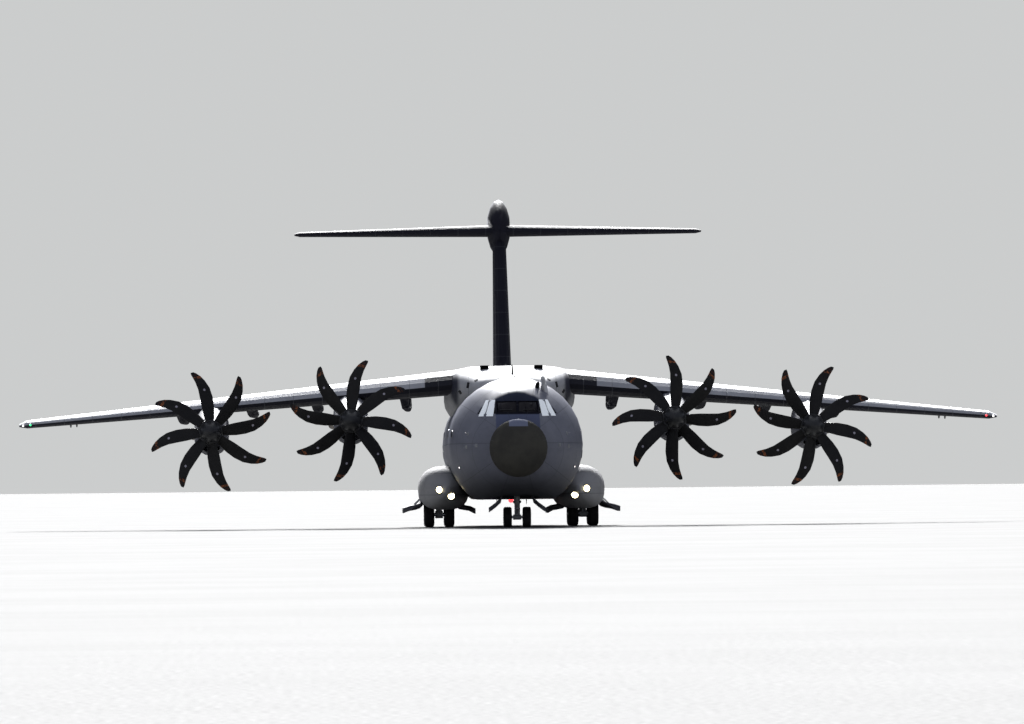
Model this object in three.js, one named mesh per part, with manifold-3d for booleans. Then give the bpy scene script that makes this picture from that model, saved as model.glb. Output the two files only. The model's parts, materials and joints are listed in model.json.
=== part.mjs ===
// Four-engined military transport plane, parked on its wheels, at half size.
// Shapes are worked out in metres of the real aircraft: x to its left, y aft of the nose, z above the ground.
// place() brings them to millimetres of the half-size model, with the origin below the middle of the length.

import * as THREE from 'three';
import { mergeVertices } from 'three/addons/utils/BufferGeometryUtils.js';
import Module from 'manifold-3d';

const wasm = await Module();
wasm.setup();

// Driving sizes, in metres of the real aircraft
const MODEL_MM_PER_METRE = 500;
const LENGTH = 45.1;
const GAP = 0.0008;
const TURNING_GAP = 0.0006;
const RUN = 0.014;
const WALL = 0.15;
const PAST = 0.1; // how far a cutting shape reaches past what it cuts

const HULL_SIDES = 32;
const SPLIT = { radome: 1.0, nose: 8.5, centre: 26.8 };

// Sections of the body: place along it, half width, crown height, height of the widest point,
// belly height, and the power of the crown's curve, where 2 is round and less is narrower
const HULL = [
  { y: 1.00, half: 1.20, top: 4.50, middle: 3.30, belly: 2.10, power: 2.0 },
  { y: 2.00, half: 1.74, top: 4.76, middle: 3.32, belly: 1.74, power: 2.0 },
  { y: 2.65, half: 2.00, top: 5.28, middle: 3.36, belly: 1.56, power: 1.75 },
  { y: 3.50, half: 2.27, top: 5.72, middle: 3.40, belly: 1.39, power: 1.68 },
  { y: 4.60, half: 2.54, top: 6.02, middle: 3.43, belly: 1.25, power: 1.8 },
  { y: 5.80, half: 2.74, top: 6.20, middle: 3.45, belly: 1.18, power: 1.95 },
  { y: 7.20, half: 2.82, top: 6.27, middle: 3.45, belly: 1.17, power: 2.0 },
  { y: 26.8, half: 2.82, top: 6.27, middle: 3.45, belly: 1.17, power: 2.0 },
  { y: 28.4, half: 2.80, top: 6.29, middle: 3.50, belly: 1.42, power: 2.0 },
  { y: 32.0, half: 2.62, top: 6.36, middle: 3.80, belly: 2.38, power: 2.0 },
  { y: 36.0, half: 2.15, top: 6.50, middle: 4.35, belly: 3.52, power: 2.0 },
  { y: 40.0, half: 1.38, top: 6.62, middle: 5.05, belly: 4.62, power: 2.0 },
  { y: 43.5, half: 0.35, top: 6.50, middle: 6.05, belly: 5.72, power: 2.0 },
];

const NOSE_TIP = { z: 3.05, length: 1.0 };

const WING = {
  root: { x: 2.60, y: 15.53, z: 6.06, chord: 7.26, thickness: 0.146 },
  tip: { x: 21.2, y: 21.75, z: 4.54, chord: 2.75, thickness: 0.12 },
};
const FLAP_HINGE = { share: 0.76, drop: 0.50, behind: 0.10 };
const FLAPS = [
  { name: 'inner', from: 3.45, to: 9.05, pods: [{ x: 4.4, deep: 0.52 }, { x: 8.2, deep: 0.22 }] },
  { name: 'outer', from: 9.35, to: 15.35, pods: [{ x: 11.0, deep: 0.16 }, { x: 14.0, deep: 0.16 }] },
];
const AILERON = { from: 15.7, to: 20.6, share: 0.74 };
const POD = { half: 0.13, arm: 0.09, pin: 0.036 };

const ENGINES = [
  { name: 'inner', x: 6.86, y: 12.9, z: 4.56 },
  { name: 'outer', x: 12.83, y: 14.9, z: 4.17 },
];
const PROPELLER = {
  radius: 2.665, blades: 8, spinner: 0.50, spinnerFront: 0.72, spinnerBack: 0.31, shaft: 0.065, sides: 16,
};

const MAIN_WHEEL = { x: 3.09, radius: 0.545, width: 0.42, spread: 0.43, axle: 0.075, rim: 0.27 };
const MAIN_AXLES = [17.68, 19.20, 20.72];
const NOSE_WHEEL = { y: 5.3, radius: 0.44, width: 0.32, spread: 0.40, axle: 0.055, rim: 0.21 };
const MAIN_BAY = { inner: 2.36, outer: 3.80, from: 16.75, to: 21.65, roof: 1.95 };
const NOSE_BAY = { half: 0.62, from: 4.10, to: 6.20, roof: 1.95, wall: 0.08 };

const FIN = {
  root: { z: 5.9, y: 32.2, chord: 9.7, thickness: 0.088 },
  top: { z: 12.95, y: 38.75, chord: 4.55, thickness: 0.13 },
};
const RUDDER = { from: 6.95, to: 11.85, share: 0.68, dip: 0.08 };
const TAILPLANE = {
  root: { x: 0, y: 38.5, z: 13.25, chord: 4.75, thickness: 0.115 },
  tip: { x: 9.25, y: 42.75, z: 13.25, chord: 2.05, thickness: 0.10 },
};
const ELEVATOR = { from: 1.15, to: 8.9, share: 0.70 };

// Surface looks: colour, roughness and metalness
const LOOKS = {
  grey: [0x7c7f88, 0.55, 0.05],
  lightGrey: [0x9a9da6, 0.5, 0.05],
  darkGrey: [0x4d4f58, 0.6, 0.05],
  radome: [0x23241c, 0.5, 0.0],
  glass: [0x1a2430, 0.1, 0.0],
  blade: [0x121315, 0.45, 0.0],
  tyre: [0x151515, 0.9, 0.0],
  gear: [0xc4c6ca, 0.4, 0.4],
  inside: [0x6d7466, 0.8, 0.0],
};

const aircraft = new THREE.Group();

function meshLook(name) {
  const [color, roughness, metalness] = LOOKS[name];
  return new THREE.MeshStandardMaterial({ color, roughness, metalness });
}

function signedVolume(vertices, triangles) {
  const corners = [new THREE.Vector3(), new THREE.Vector3(), new THREE.Vector3()];
  let volume = 0;
  for (let first = 0; first < triangles.length; first += 3) {
    corners.forEach((corner, k) => corner.fromArray(vertices, 3 * triangles[first + k]));
    volume += corners[0].dot(corners[1].clone().cross(corners[2])) / 6;
  }
  return volume;
}

// Closed three.js geometry to a solid that can be cut and joined, faces turned outward
function solid(source) {
  const geometry = source.clone();
  geometry.deleteAttribute('normal');
  geometry.deleteAttribute('uv');
  const merged = mergeVertices(geometry, 1e-6);
  const vertProperties = new Float32Array(merged.attributes.position.array);
  const triVerts = new Uint32Array(merged.index.array);
  if (signedVolume(vertProperties, triVerts) < 0) {
    for (let first = 0; first < triVerts.length; first += 3) {
      [triVerts[first], triVerts[first + 1]] = [triVerts[first + 1], triVerts[first]];
    }
  }
  return new wasm.Manifold(new wasm.Mesh({ numProp: 3, vertProperties, triVerts }));
}

function geometryOf(body) {
  const mesh = body.getMesh();
  const geometry = new THREE.BufferGeometry();
  geometry.setAttribute('position', new THREE.BufferAttribute(new Float32Array(mesh.vertProperties), 3));
  geometry.setIndex(new THREE.BufferAttribute(new Uint32Array(mesh.triVerts), 1));
  return geometry;
}

// Adds a finished solid as a mesh whose own origin is at the pivot
function place(name, body, look, pivot = [0, 0, 0]) {
  const geometry = geometryOf(body);
  geometry.translate(-pivot[0], -pivot[1], -pivot[2]);
  geometry.scale(MODEL_MM_PER_METRE, MODEL_MM_PER_METRE, MODEL_MM_PER_METRE);
  geometry.computeVertexNormals();
  const mesh = new THREE.Mesh(geometry, meshLook(look));
  mesh.name = name;
  mesh.position.set(pivot[0], pivot[1] - LENGTH / 2, pivot[2]).multiplyScalar(MODEL_MM_PER_METRE);
  aircraft.add(mesh);
  return mesh;
}

// Closed body through rings of [x, y, z] points that all run the same way round
function loft(rings) {
  const count = rings[0].length;
  const points = rings.flat();
  const faces = [];
  for (let ring = 0; ring + 1 < rings.length; ring += 1) {
    for (let i = 0; i < count; i += 1) {
      const a = ring * count + i;
      const b = ring * count + (i + 1) % count;
      faces.push(a, b, b + count, a, b + count, a + count);
    }
  }
  const ends = [[rings[0], 0, false], [rings.at(-1), (rings.length - 1) * count, true]];
  for (const [ring, base, last] of ends) {
    const centre = ring.reduce((sum, p) => sum.map((v, k) => v + p[k] / count), [0, 0, 0]);
    const hub = points.push(centre) - 1;
    for (let i = 0; i < count; i += 1) {
      const a = base + i;
      const b = base + (i + 1) % count;
      faces.push(...(last ? [hub, a, b] : [hub, b, a]));
    }
  }
  const geometry = new THREE.BufferGeometry();
  geometry.setAttribute('position', new THREE.Float32BufferAttribute(points.flat(), 3));
  geometry.setIndex(faces);
  return solid(geometry);
}

function box(from, to) {
  const size = from.map((low, k) => to[k] - low);
  const geometry = new THREE.BoxGeometry(...size);
  geometry.translate(...from.map((low, k) => (low + to[k]) / 2));
  return solid(geometry);
}

// Round bar between two points, with a radius at each end
function bar(from, to, radius, endRadius = radius, sides = 20) {
  const a = new THREE.Vector3(...from);
  const b = new THREE.Vector3(...to);
  const along = b.clone().sub(a);
  const geometry = new THREE.CylinderGeometry(endRadius, radius, along.length(), sides);
  const turn = new THREE.Quaternion().setFromUnitVectors(new THREE.Vector3(0, 1, 0), along.normalize());
  geometry.applyQuaternion(turn);
  geometry.translate(...a.add(b).multiplyScalar(0.5).toArray());
  return solid(geometry);
}

// Outline of [x, z] points drawn out along y
function alongY(outline, from, to) {
  const shape = new THREE.Shape(outline.map(([x, z]) => new THREE.Vector2(x, z)));
  const geometry = new THREE.ExtrudeGeometry(shape, { depth: to - from, bevelEnabled: false });
  geometry.rotateX(Math.PI / 2);
  geometry.translate(0, to, 0);
  return solid(geometry);
}

// Outline of [y, z] points drawn out along x
function alongX(outline, from, to) {
  const shape = new THREE.Shape(outline.map(([y, z]) => new THREE.Vector2(y, z)));
  const geometry = new THREE.ExtrudeGeometry(shape, { depth: to - from, bevelEnabled: false });
  geometry.rotateX(Math.PI / 2);
  geometry.rotateZ(Math.PI / 2);
  geometry.translate(from, 0, 0);
  return solid(geometry);
}

const PIN_SIDES = 12;

// Radius of a faceted bore that a faceted pin of the same number of sides turns in
function bored(radius, sides = PIN_SIDES, clearance = TURNING_GAP) {
  return radius / Math.cos(Math.PI / sides) + clearance;
}

function joined(bodies) {
  return bodies.reduce((whole, body) => whole.add(body));
}

function mix(a, b, share) {
  return a + (b - a) * share;
}

// Ring round the body: the crown's curve above the widest point, a circle cut flat at the belly below it
function hullRing(section, inset) {
  const { y, half, top, middle, belly, power } = section;
  return Array.from({ length: HULL_SIDES }, (_, i) => {
    const angle = (2 * Math.PI * i) / HULL_SIDES;
    const across = Math.sin(angle);
    const up = Math.cos(angle);
    const curve = up > 0 ? 2 / power : 1;
    const x = (half - inset) * Math.sign(across) * Math.abs(across) ** curve;
    const z = up > 0
      ? middle + (top - middle - inset) * up ** curve
      : Math.max(middle + (half - inset) * up, belly + inset);
    return [x, y, z];
  });
}

const hullLofts = new Map();

// The body between two places along it, drawn in by an inset, or grown by a negative one
function hull(from, to, inset = 0) {
  if (!hullLofts.has(inset)) hullLofts.set(inset, loft(HULL.map((section) => hullRing(section, inset))));
  return hullLofts.get(inset).intersect(box([-4, from, 0], [4, to, 8]));
}

function inner(from, to, inset = WALL) {
  return hull(from, to, inset);
}

function makeRadome() {
  const base = HULL[0];
  const rings = [0, 0.035, 0.12, 0.28, 0.5, 0.75, 1].map((share) => {
    const round = Math.max(0.08, Math.sqrt(1 - (1 - share) ** 2));
    const middle = mix(NOSE_TIP.z, base.middle, share ** 0.7);
    return hullRing({
      y: share * (NOSE_TIP.length - GAP),
      half: base.half * round,
      top: middle + (base.top - base.middle) * round,
      middle,
      belly: middle - (base.middle - base.belly) * round,
      power: base.power,
    }, 0);
  });
  place('radome', loft(rings), 'radome');
}

// Windscreen panes seen from the front, and side panes seen from the side, as openings through the wall
const FRONT_PANE = { inner: 0.05, outer: 0.84, low: 4.78, high: 5.24 };
const SIDE_PANES = [
  [[2.24, 4.73], [2.72, 4.73], [2.98, 5.22], [2.60, 5.22]],
  [[2.84, 4.73], [3.52, 4.73], [3.72, 5.20], [3.12, 5.20]],
];

const PANE_INSET = 0.03;

// Outline drawn in towards its middle by about the given distance
function drawnIn(outline, by) {
  const middle = outline.reduce((sum, p) => sum.map((v, k) => v + p[k] / outline.length), [0, 0]);
  const reach = Math.min(...outline.map((p) => Math.hypot(p[0] - middle[0], p[1] - middle[1])));
  return outline.map((p) => p.map((v, k) => middle[k] + (v - middle[k]) * (1 - by / (reach * 0.7))));
}

function windowCuts(shrink = 0) {
  const { inner: near, outer: far, low, high } = FRONT_PANE;
  const cuts = [];
  for (const side of [1, -1]) {
    const edges = [(near + shrink) * side, (far - shrink) * side].sort((a, b) => a - b);
    cuts.push(box([edges[0], 1.4, low + shrink], [edges[1], 3.3, high - shrink]));
    for (const pane of SIDE_PANES) {
      const reach = [0.9 * side, 2.6 * side].sort((a, b) => a - b);
      cuts.push(alongX(drawnIn(pane, shrink), ...reach));
    }
  }
  return joined(cuts);
}

const CREW_DOOR = { from: 6.35, to: 7.25, low: 1.72, high: 3.42, pin: 0.022 };
const BULKHEAD = { y: 7.4, thickness: 0.12, foot: 0.02 };
const FLOOR = { low: 1.36, top: 1.52, from: 6.32, to: 27.41 };

function doorBlock(door, side, grow) {
  const reach = [1.7 * side, 3.2 * side].sort((a, b) => a - b);
  return box([reach[0], door.from - grow, door.low - grow], [reach[1], door.to + grow, door.high + grow]);
}

// Crew door hinge line, close under the skin along the door's lower edge, and how far the line drifts outward
const CREW_HINGE = { x: 2.135, z: CREW_DOOR.low + 0.035, drift: 0.06 };
const PIN_INTO_DOOR = 0.10;

function crewDoorPins(radius, reach, back) {
  const { from, to } = CREW_DOOR;
  const at = (y) => [CREW_HINGE.x + CREW_HINGE.drift * (y - from) / (to - from), y, CREW_HINGE.z];
  return [
    bar(at(from - back), at(from + reach), radius, radius, PIN_SIDES),
    bar(at(to - reach), at(to + back), radius, radius, PIN_SIDES),
  ];
}

function makeNose() {
  const { half, from, to, roof, wall } = NOSE_BAY;
  const shell = hull(SPLIT.radome, SPLIT.nose).subtract(inner(SPLIT.radome + 0.3, SPLIT.nose + PAST));
  const bayWalls = box([-half - wall, from - wall, 0.9], [half + wall, to + wall, roof + wall])
    .intersect(hull(SPLIT.radome, SPLIT.nose, WALL / 2));
  const lowerEdge = 0.03;
  const doorway = doorBlock({ ...CREW_DOOR, low: CREW_DOOR.low - lowerEdge }, 1, RUN);
  const body = shell
    .add(bayWalls)
    .subtract(box([-half, from, 0.5], [half, to, roof]))
    .subtract(windowCuts())
    .subtract(doorway)
    .add(joined(crewDoorPins(CREW_DOOR.pin, PIN_INTO_DOOR, 0.05).map((pin) => pin.intersect(
      hull(SPLIT.radome, SPLIT.nose, 0.02).subtract(inner(SPLIT.radome + 0.3, SPLIT.nose, WALL - 0.02))))));
  place('nose_fuselage', body, 'grey');
}

function makeCrewDoor() {
  const leaf = hull(6, 8).subtract(inner(5.9, 8.1)).intersect(doorBlock(CREW_DOOR, 1, 0));
  const bores = joined(crewDoorPins(bored(CREW_DOOR.pin), PIN_INTO_DOOR + 0.02, 0.1));
  place('crew_door', leaf.subtract(bores), 'grey', [CREW_HINGE.x, CREW_DOOR.from, CREW_HINGE.z]);
}

// Panes that fill their openings to just under the skin, held together by a band inside the wall
const PANE_BAND = { from: 1.6, to: 3.95, low: 4.66, high: 5.32 };

function makeGlazing() {
  const { from, to, low, high } = PANE_BAND;
  const inside = hull(from - 0.2, to + 0.35, WALL + 0.05);
  const reach = box([-3, from, low], [3, to, high]);
  const band = inner(from - 0.1, to + 0.25, WALL + GAP).subtract(inside).intersect(reach);
  const panes = windowCuts(GAP).intersect(hull(from - 0.1, to + 0.25, PANE_INSET)).subtract(inside);
  place('cockpit_glazing', band.add(panes), 'glass');
}

// Floor with the rear bulkhead, the instrument panel with its coaming, and two seats on the floor
const DECK = { low: 3.45, top: 3.57, from: 2.0 };
const BULKHEAD_DOORS = [
  { half: 0.45, low: 1, high: 3.3 },
  { half: 0.40, low: DECK.top, high: 5.4 },
];
const PANEL = {
  half: 1.0,
  outline: [[2.15, DECK.low], [2.55, DECK.low], [2.55, 4.3], [2.62, 4.52], [2.30, 4.58], [2.15, 4.4]],
};
const PEDESTAL = { half: 0.2, from: 2.5, to: 3.6, top: 4.15 };
const SEAT = {
  x: 0.62, from: 3.35, to: 3.95, low: 3.9, top: 4.05, half: 0.25, footHalf: 0.14, backHalf: 0.23,
};
const SEAT_BACK = [[3.86, 3.95], [3.98, 3.95], [4.12, 4.95], [4.00, 4.95]];

function seatAt(x) {
  const { from, to, low, top, half, footHalf, backHalf } = SEAT;
  return joined([
    box([x - footHalf, from + 0.2, DECK.low], [x + footHalf, to - 0.1, low + 0.05]),
    box([x - half, from, low], [x + half, to, top]),
    alongX(SEAT_BACK, x - backHalf, x + backHalf),
  ]);
}

function makeFlightDeck() {
  const { y, thickness, foot } = BULKHEAD;
  const room = inner(DECK.from - 0.4, y + 0.3, WALL + GAP);
  const floor = box([-3, DECK.from, DECK.low], [3, y, DECK.top]);
  const doorways = BULKHEAD_DOORS.map(({ half, low, high }) => box([-half, y - 1, low], [half, y + 1, high]));
  const wall = box([-3, y - thickness, FLOOR.top + foot], [3, y, HULL[0].top + 2]).subtract(joined(doorways));
  const panel = alongX(PANEL.outline, -PANEL.half, PANEL.half);
  const pedestal = box([-PEDESTAL.half, PEDESTAL.from, DECK.low], [PEDESTAL.half, PEDESTAL.to, PEDESTAL.top]);
  const seats = [seatAt(SEAT.x), seatAt(-SEAT.x)];
  place('flight_deck', joined([floor, wall, panel, pedestal, ...seats]).intersect(room), 'inside');
}

function makeCargoFloor() {
  const slab = box([-3, FLOOR.from, FLOOR.low], [3, FLOOR.to, FLOOR.top]);
  const room = inner(6, FLOOR.to + PAST, WALL + GAP);
  place('cargo_floor', slab.intersect(room), 'inside');
}

// Outline of [x, y] points drawn out along z
function alongZ(outline, from, to) {
  const shape = new THREE.Shape(outline.map(([x, y]) => new THREE.Vector2(x, y)));
  const geometry = new THREE.ExtrudeGeometry(shape, { depth: to - from, bevelEnabled: false });
  geometry.translate(0, 0, from);
  return solid(geometry);
}

// Fairing over the wing centre: place along the body, half width, top height, height of the widest point,
// how far it reaches below that, and the power of its upper curve. It bulges down the body's sides.
const FAIRING = [
  { y: 10.4, half: 0.90, top: 6.22, middle: 5.90, depth: 1.00, power: 2.2 },
  { y: 12.2, half: 1.72, top: 6.46, middle: 5.90, depth: 1.00, power: 2.3 },
  { y: 14.0, half: 2.25, top: 6.72, middle: 6.00, depth: 1.10, power: 2.7 },
  { y: 15.4, half: 2.50, top: 6.85, middle: 5.95, depth: 1.30, power: 3.4 },
  { y: 17.4, half: 2.76, top: 6.88, middle: 5.50, depth: 1.50, power: 4.6 },
  { y: 21.9, half: 2.80, top: 6.88, middle: 5.40, depth: 1.50, power: 4.6 },
  { y: 23.8, half: 2.62, top: 6.66, middle: 5.30, depth: 1.40, power: 3.2 },
  { y: 26.2, half: 1.40, top: 6.24, middle: 5.20, depth: 1.00, power: 2.2 },
];
const SADDLE = { ceiling: 5.50, sides: 32 };

// Ring round the fairing: flat on top, and drawn in towards the body below its widest height
function fairingRing({ y, half, top, middle, depth, power }, grow) {
  return Array.from({ length: SADDLE.sides }, (_, i) => {
    const angle = (2 * Math.PI * i) / SADDLE.sides;
    const across = Math.sin(angle);
    const up = Math.cos(angle);
    const curve = up > 0 ? 2 / power : 1;
    return [
      (half + grow) * Math.sign(across) * Math.abs(across) ** curve,
      y,
      up > 0 ? middle + (top + grow - middle) * up ** curve : middle + (depth + grow) * up,
    ];
  });
}

function fairingLoft(grow = 0) {
  const first = FAIRING[0];
  const last = FAIRING.at(-1);
  return loft([{ ...first, y: first.y - grow }, ...FAIRING.slice(1, -1), { ...last, y: last.y + grow }]
    .map((section) => fairingRing(section, grow)));
}

function holdUnderWing(grow = 0) {
  const [from, to] = [FAIRING[0].y - 1, FAIRING.at(-1).y + 0.5];
  return inner(from, to, WALL + grow).intersect(box([-3, from, 1], [3, to, SADDLE.ceiling - grow]));
}

function makeFairing() {
  place('wing_fairing', fairingLoft().subtract(holdUnderWing()), 'lightGrey');
}

const JUMP_DOOR = { from: 25.5, to: 26.45, low: 1.66, high: 3.62 };

function makeCentre() {
  const shell = hull(SPLIT.nose + GAP, SPLIT.centre).subtract(inner(SPLIT.nose - PAST, SPLIT.centre + PAST));
  const body = shell
    .subtract(fairingLoft(GAP))
    .subtract(doorBlock(JUMP_DOOR, 1, GAP))
    .subtract(doorBlock(JUMP_DOOR, -1, GAP));
  place('centre_fuselage', body, 'grey');
}

function makeJumpDoors() {
  for (const [name, side] of [['left', 1], ['right', -1]]) {
    const leaf = hull(25, 26.8).subtract(inner(24.9, 26.9)).intersect(doorBlock(JUMP_DOOR, side, 0));
    place(`paratroop_door_${name}`, leaf, 'grey');
  }
}

// Loading ramp and upper door in the upswept belly, with their half widths at each end
const RAMP = {
  from: 27.45, to: 32.30, fromHalf: 1.60, toHalf: 1.86, hinge: { y: 27.57, z: 1.36 }, pin: 0.036,
};
const LID = {
  from: 32.33, to: 37.98, fromHalf: 1.86, toHalf: 1.24, hinge: { y: 37.88, z: 4.12 }, pin: 0.03,
};
const PIN_REACH = 0.12;
const PIN_OUT = 0.08;

function planOutline({ from, to, fromHalf, toHalf }, side, ends) {
  return [
    [-fromHalf - side, from - ends],
    [fromHalf + side, from - ends],
    [toHalf + side, to + ends],
    [-toHalf - side, to + ends],
  ];
}

function hingePins(leaf, half, radius, inward, outward) {
  const { y, z } = leaf.hinge;
  return [1, -1].map((side) => bar(
    [side * (half - inward), y, z], [side * (half + outward), y, z], radius, radius, PIN_SIDES));
}

// How far the rear opening's cut reaches up through the belly, as [y, z]
const REAR_CUT = { half: 2.5, outline: [[27, 0.5], [38.5, 0.5], [38.5, 4.75], [36, 4.2], [27, 2.0]] };
const REAR_HOLLOW_END = 39.2;

function makeRear() {
  const bellyOpening = joined([
    alongZ(planOutline({ ...RAMP, to: LID.from }, RUN, RUN), 0, 6),
    alongZ(planOutline(LID, RUN, RUN), 0, 6),
  ]).intersect(alongX(REAR_CUT.outline, -REAR_CUT.half, REAR_CUT.half));
  const shell = hull(SPLIT.centre + GAP, HULL.at(-1).y).subtract(inner(SPLIT.centre - PAST, REAR_HOLLOW_END));
  const pins = joined([
    ...hingePins(RAMP, RAMP.fromHalf, RAMP.pin, PIN_REACH - 0.02, PIN_OUT),
    ...hingePins(LID, LID.toHalf, LID.pin, PIN_REACH - 0.02, PIN_OUT),
  ]);
  place('rear_fuselage', shell.subtract(bellyOpening).add(pins), 'grey');
}

// Side views of the ramp and the upper door as [y, z]: both are cut from the body's lower skin
const RAMP_SIDE = [
  [27.52, 0.8], [RAMP.to, 0.8], [RAMP.to, 2.3], [RAMP.to - 0.18, 2.70],
  [27.62, 1.52], [27.45, 1.50], [27.45, 1.42], [27.52, 1.26],
];
const LID_SIDE = [[32, 0.8], [38.5, 0.8], [37.98, 4.12], [37.86, 4.24], [36, 3.72], [32, 2.58]];

function rearLeaf(leaf, side, pinHalf) {
  return hull(leaf.from - 0.5, leaf.to + 0.6)
    .intersect(alongX(side, -2, 2))
    .intersect(alongZ(planOutline(leaf, 0, 0), 0, 5))
    .subtract(joined(hingePins(leaf, pinHalf, bored(leaf.pin), PIN_REACH, PAST)));
}

function makeRamp() {
  place('cargo_ramp', rearLeaf(RAMP, RAMP_SIDE, RAMP.fromHalf), 'grey', [0, RAMP.hinge.y, RAMP.hinge.z]);
}

function makeLid() {
  place('cargo_door', rearLeaf(LID, LID_SIDE, LID.toHalf), 'grey', [0, LID.hinge.y, LID.hinge.z]);
}

// Refuelling probe: points along its middle, its radius, and the foot on the roof that it grows from
const PROBE = {
  radius: 0.085,
  route: [[1.18, 5.15, 5.55], [1.14, 4.75, 6.02], [1.10, 4.10, 6.20], [1.07, 2.95, 6.20]],
  foot: { from: [1.18, 4.9, 5.3], to: [1.16, 4.86, 6.0], wide: 0.24, narrow: 0.10 },
};

function makeProbe() {
  const { radius, route, foot } = PROBE;
  const path = new THREE.CatmullRomCurve3(route.map((point) => new THREE.Vector3(...point)));
  const section = new THREE.Shape().absarc(0, 0, radius, 0, 2 * Math.PI);
  const rod = new THREE.ExtrudeGeometry(section, { extrudePath: path, steps: 10, curveSegments: 4 });
  const base = bar(foot.from, foot.to, foot.wide, foot.narrow, 12);
  place('refuelling_probe', solid(rod).add(base).subtract(hull(1, 8, -GAP)), 'lightGrey');
}

// Chord stations of a streamlined section, and its half thickness there for a thickness of 1
const CHORD_STATIONS = [0, 0.02, 0.08, 0.2, 0.38, 0.58, 0.78, 1];
const TRAILING_EDGE = 0.006;

function halfThickness(c) {
  return 5 * (0.2969 * Math.sqrt(c) - 0.126 * c - 0.3516 * c ** 2 + 0.2843 * c ** 3 - 0.1015 * c ** 4);
}

// Section as pairs of [aft, up], closed, for a chord and thickness share, grown all round
function foil({ chord, thickness }, camber, grow) {
  const point = (c, side) => {
    const half = halfThickness(c) * thickness * chord + grow + TRAILING_EDGE * c;
    return [
      c * chord + (c === 0 ? -grow : 0) + (c === 1 ? grow : 0),
      side * half + 4 * camber * chord * c * (1 - c),
    ];
  };
  const upper = CHORD_STATIONS.map((c) => point(c, 1));
  const lower = CHORD_STATIONS.slice(1).map((c) => point(c, -1)).reverse();
  return [...upper, ...lower];
}

function between(panel, share) {
  const [first, last] = panel;
  return Object.fromEntries(Object.keys(first).map((key) => [key, mix(first[key], last[key], share)]));
}

const WING_CAMBER = 0.018;
const WING_STUB = 2.15;
const WING_TIP = { from: 20.85, x: 21.2, y: 22.1, chord: 1.9, thickness: 0.07 };

function wingSection(x) {
  const { root, tip } = WING;
  return between([root, tip], (x - root.x) / (tip.x - root.x));
}

function wingLoft(side, grow = 0) {
  const { from, ...cap } = WING_TIP;
  const sections = [wingSection(WING_STUB), wingSection(from), { ...wingSection(cap.x), ...cap }];
  return loft(sections.map((section) => foil(section, WING_CAMBER, grow)
    .map(([aft, up]) => [side * section.x, section.y + aft, section.z + up])));
}

// Frame on a hinge line: x along the line, y aft, z up, starting at its inner end
function hingeFrame(a, b, up) {
  const along = b.clone().sub(a);
  const x = along.clone().normalize();
  const y = up.clone().cross(x).normalize();
  if (y.y < 0) y.negate();
  const z = x.clone().cross(y);
  if (z.dot(up) < 0) z.negate();
  const matrix = new THREE.Matrix4().makeBasis(x, y, z).setPosition(a);
  return { matrix, length: along.length(), start: a, x };
}

function inFrame(frame, body) {
  const e = frame.matrix.elements;
  return body.transform([...e]);
}

const NOSE_SIDES = 14;

// Blocks and nose bars that part a hinged surface from what carries it
function surfaceBlock(frame, radii, grow, reach) {
  const tail = box([-grow, -grow, -reach], [frame.length + grow, 4, reach]);
  const [start, end] = radii.map((radius) => (grow ? bored(radius, NOSE_SIDES, grow) : radius));
  const nose = bar([-grow, 0, 0], [frame.length + grow, 0, 0], start, end, NOSE_SIDES);
  return inFrame(frame, tail.add(nose));
}

function endPins(frame, radius, inward, outward) {
  const ends = [[-outward, inward], [frame.length - inward, frame.length + outward]];
  const pins = ends.map(([from, to]) => bar([from, 0, 0], [to, 0, 0], radius, radius, PIN_SIDES));
  return inFrame(frame, joined(pins));
}

const SURFACE_PIN = { radius: 0.022, reach: 0.10 };

// Splits a hinged surface off a loft: the loft with its cove and end pins, and the surface with bores for them
function hinged(whole, carrier, frame, radii, reach = 1, keep = null) {
  const { radius, reach: into } = SURFACE_PIN;
  let block = surfaceBlock(frame, radii, 0, reach);
  let cove = surfaceBlock(frame, radii, RUN, reach);
  if (keep) {
    block = block.intersect(keep(0));
    cove = cove.intersect(keep(RUN));
  }
  const surface = whole.intersect(block).subtract(endPins(frame, bored(radius), into + 0.02, 0.3));
  const fixed = carrier.subtract(cove).add(endPins(frame, radius, into, 0.08));
  return { surface, fixed };
}

function wingPoint(side, x, share) {
  const section = wingSection(x);
  const up = 4 * WING_CAMBER * section.chord * share * (1 - share);
  return new THREE.Vector3(side * x, section.y + share * section.chord, section.z + up);
}

function wingHalfThickness(x, share) {
  const section = wingSection(x);
  return halfThickness(share) * section.thickness * section.chord + TRAILING_EDGE * share;
}

const UP = new THREE.Vector3(0, 0, 1);

function spanFrame(side, { from, to }, share) {
  return hingeFrame(wingPoint(side, from, share), wingPoint(side, to, share), UP);
}

// Fixed front of a flap hinge pod, and the moving arm beside it with its tail fairing, in the flap's frame.
// The pod hangs below the hinge by its own depth, and its lower edges are cut off at a slant.
function podBody({ at, deep }) {
  const { behind, drop } = FLAP_HINGE;
  const { half } = POD;
  const tip = 0.09;
  const low = -drop - deep;
  const outline = [
    [-2.1, 0.0], [-1.8, -0.28], [-1.15, mix(-drop, low, 0.72)], [-0.5, low], [behind - 0.16, low],
    [behind + 0.04, mix(-drop, low, 0.5)], [behind + tip, -drop], [behind + 0.05, -drop + tip],
    [-0.06, -drop + tip], [-0.06, 0.0],
  ];
  const across = [
    [-half, 0.2], [-half, low + 0.14], [-half * 0.62, low + 0.03], [-half * 0.2, low],
    [half * 0.2, low], [half * 0.62, low + 0.03], [half, low + 0.14], [half, 0.2],
  ].map(([x, z]) => [at + x, z]);
  return alongX(outline, at - half, at + half).intersect(alongY(across, -3, 1));
}

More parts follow.
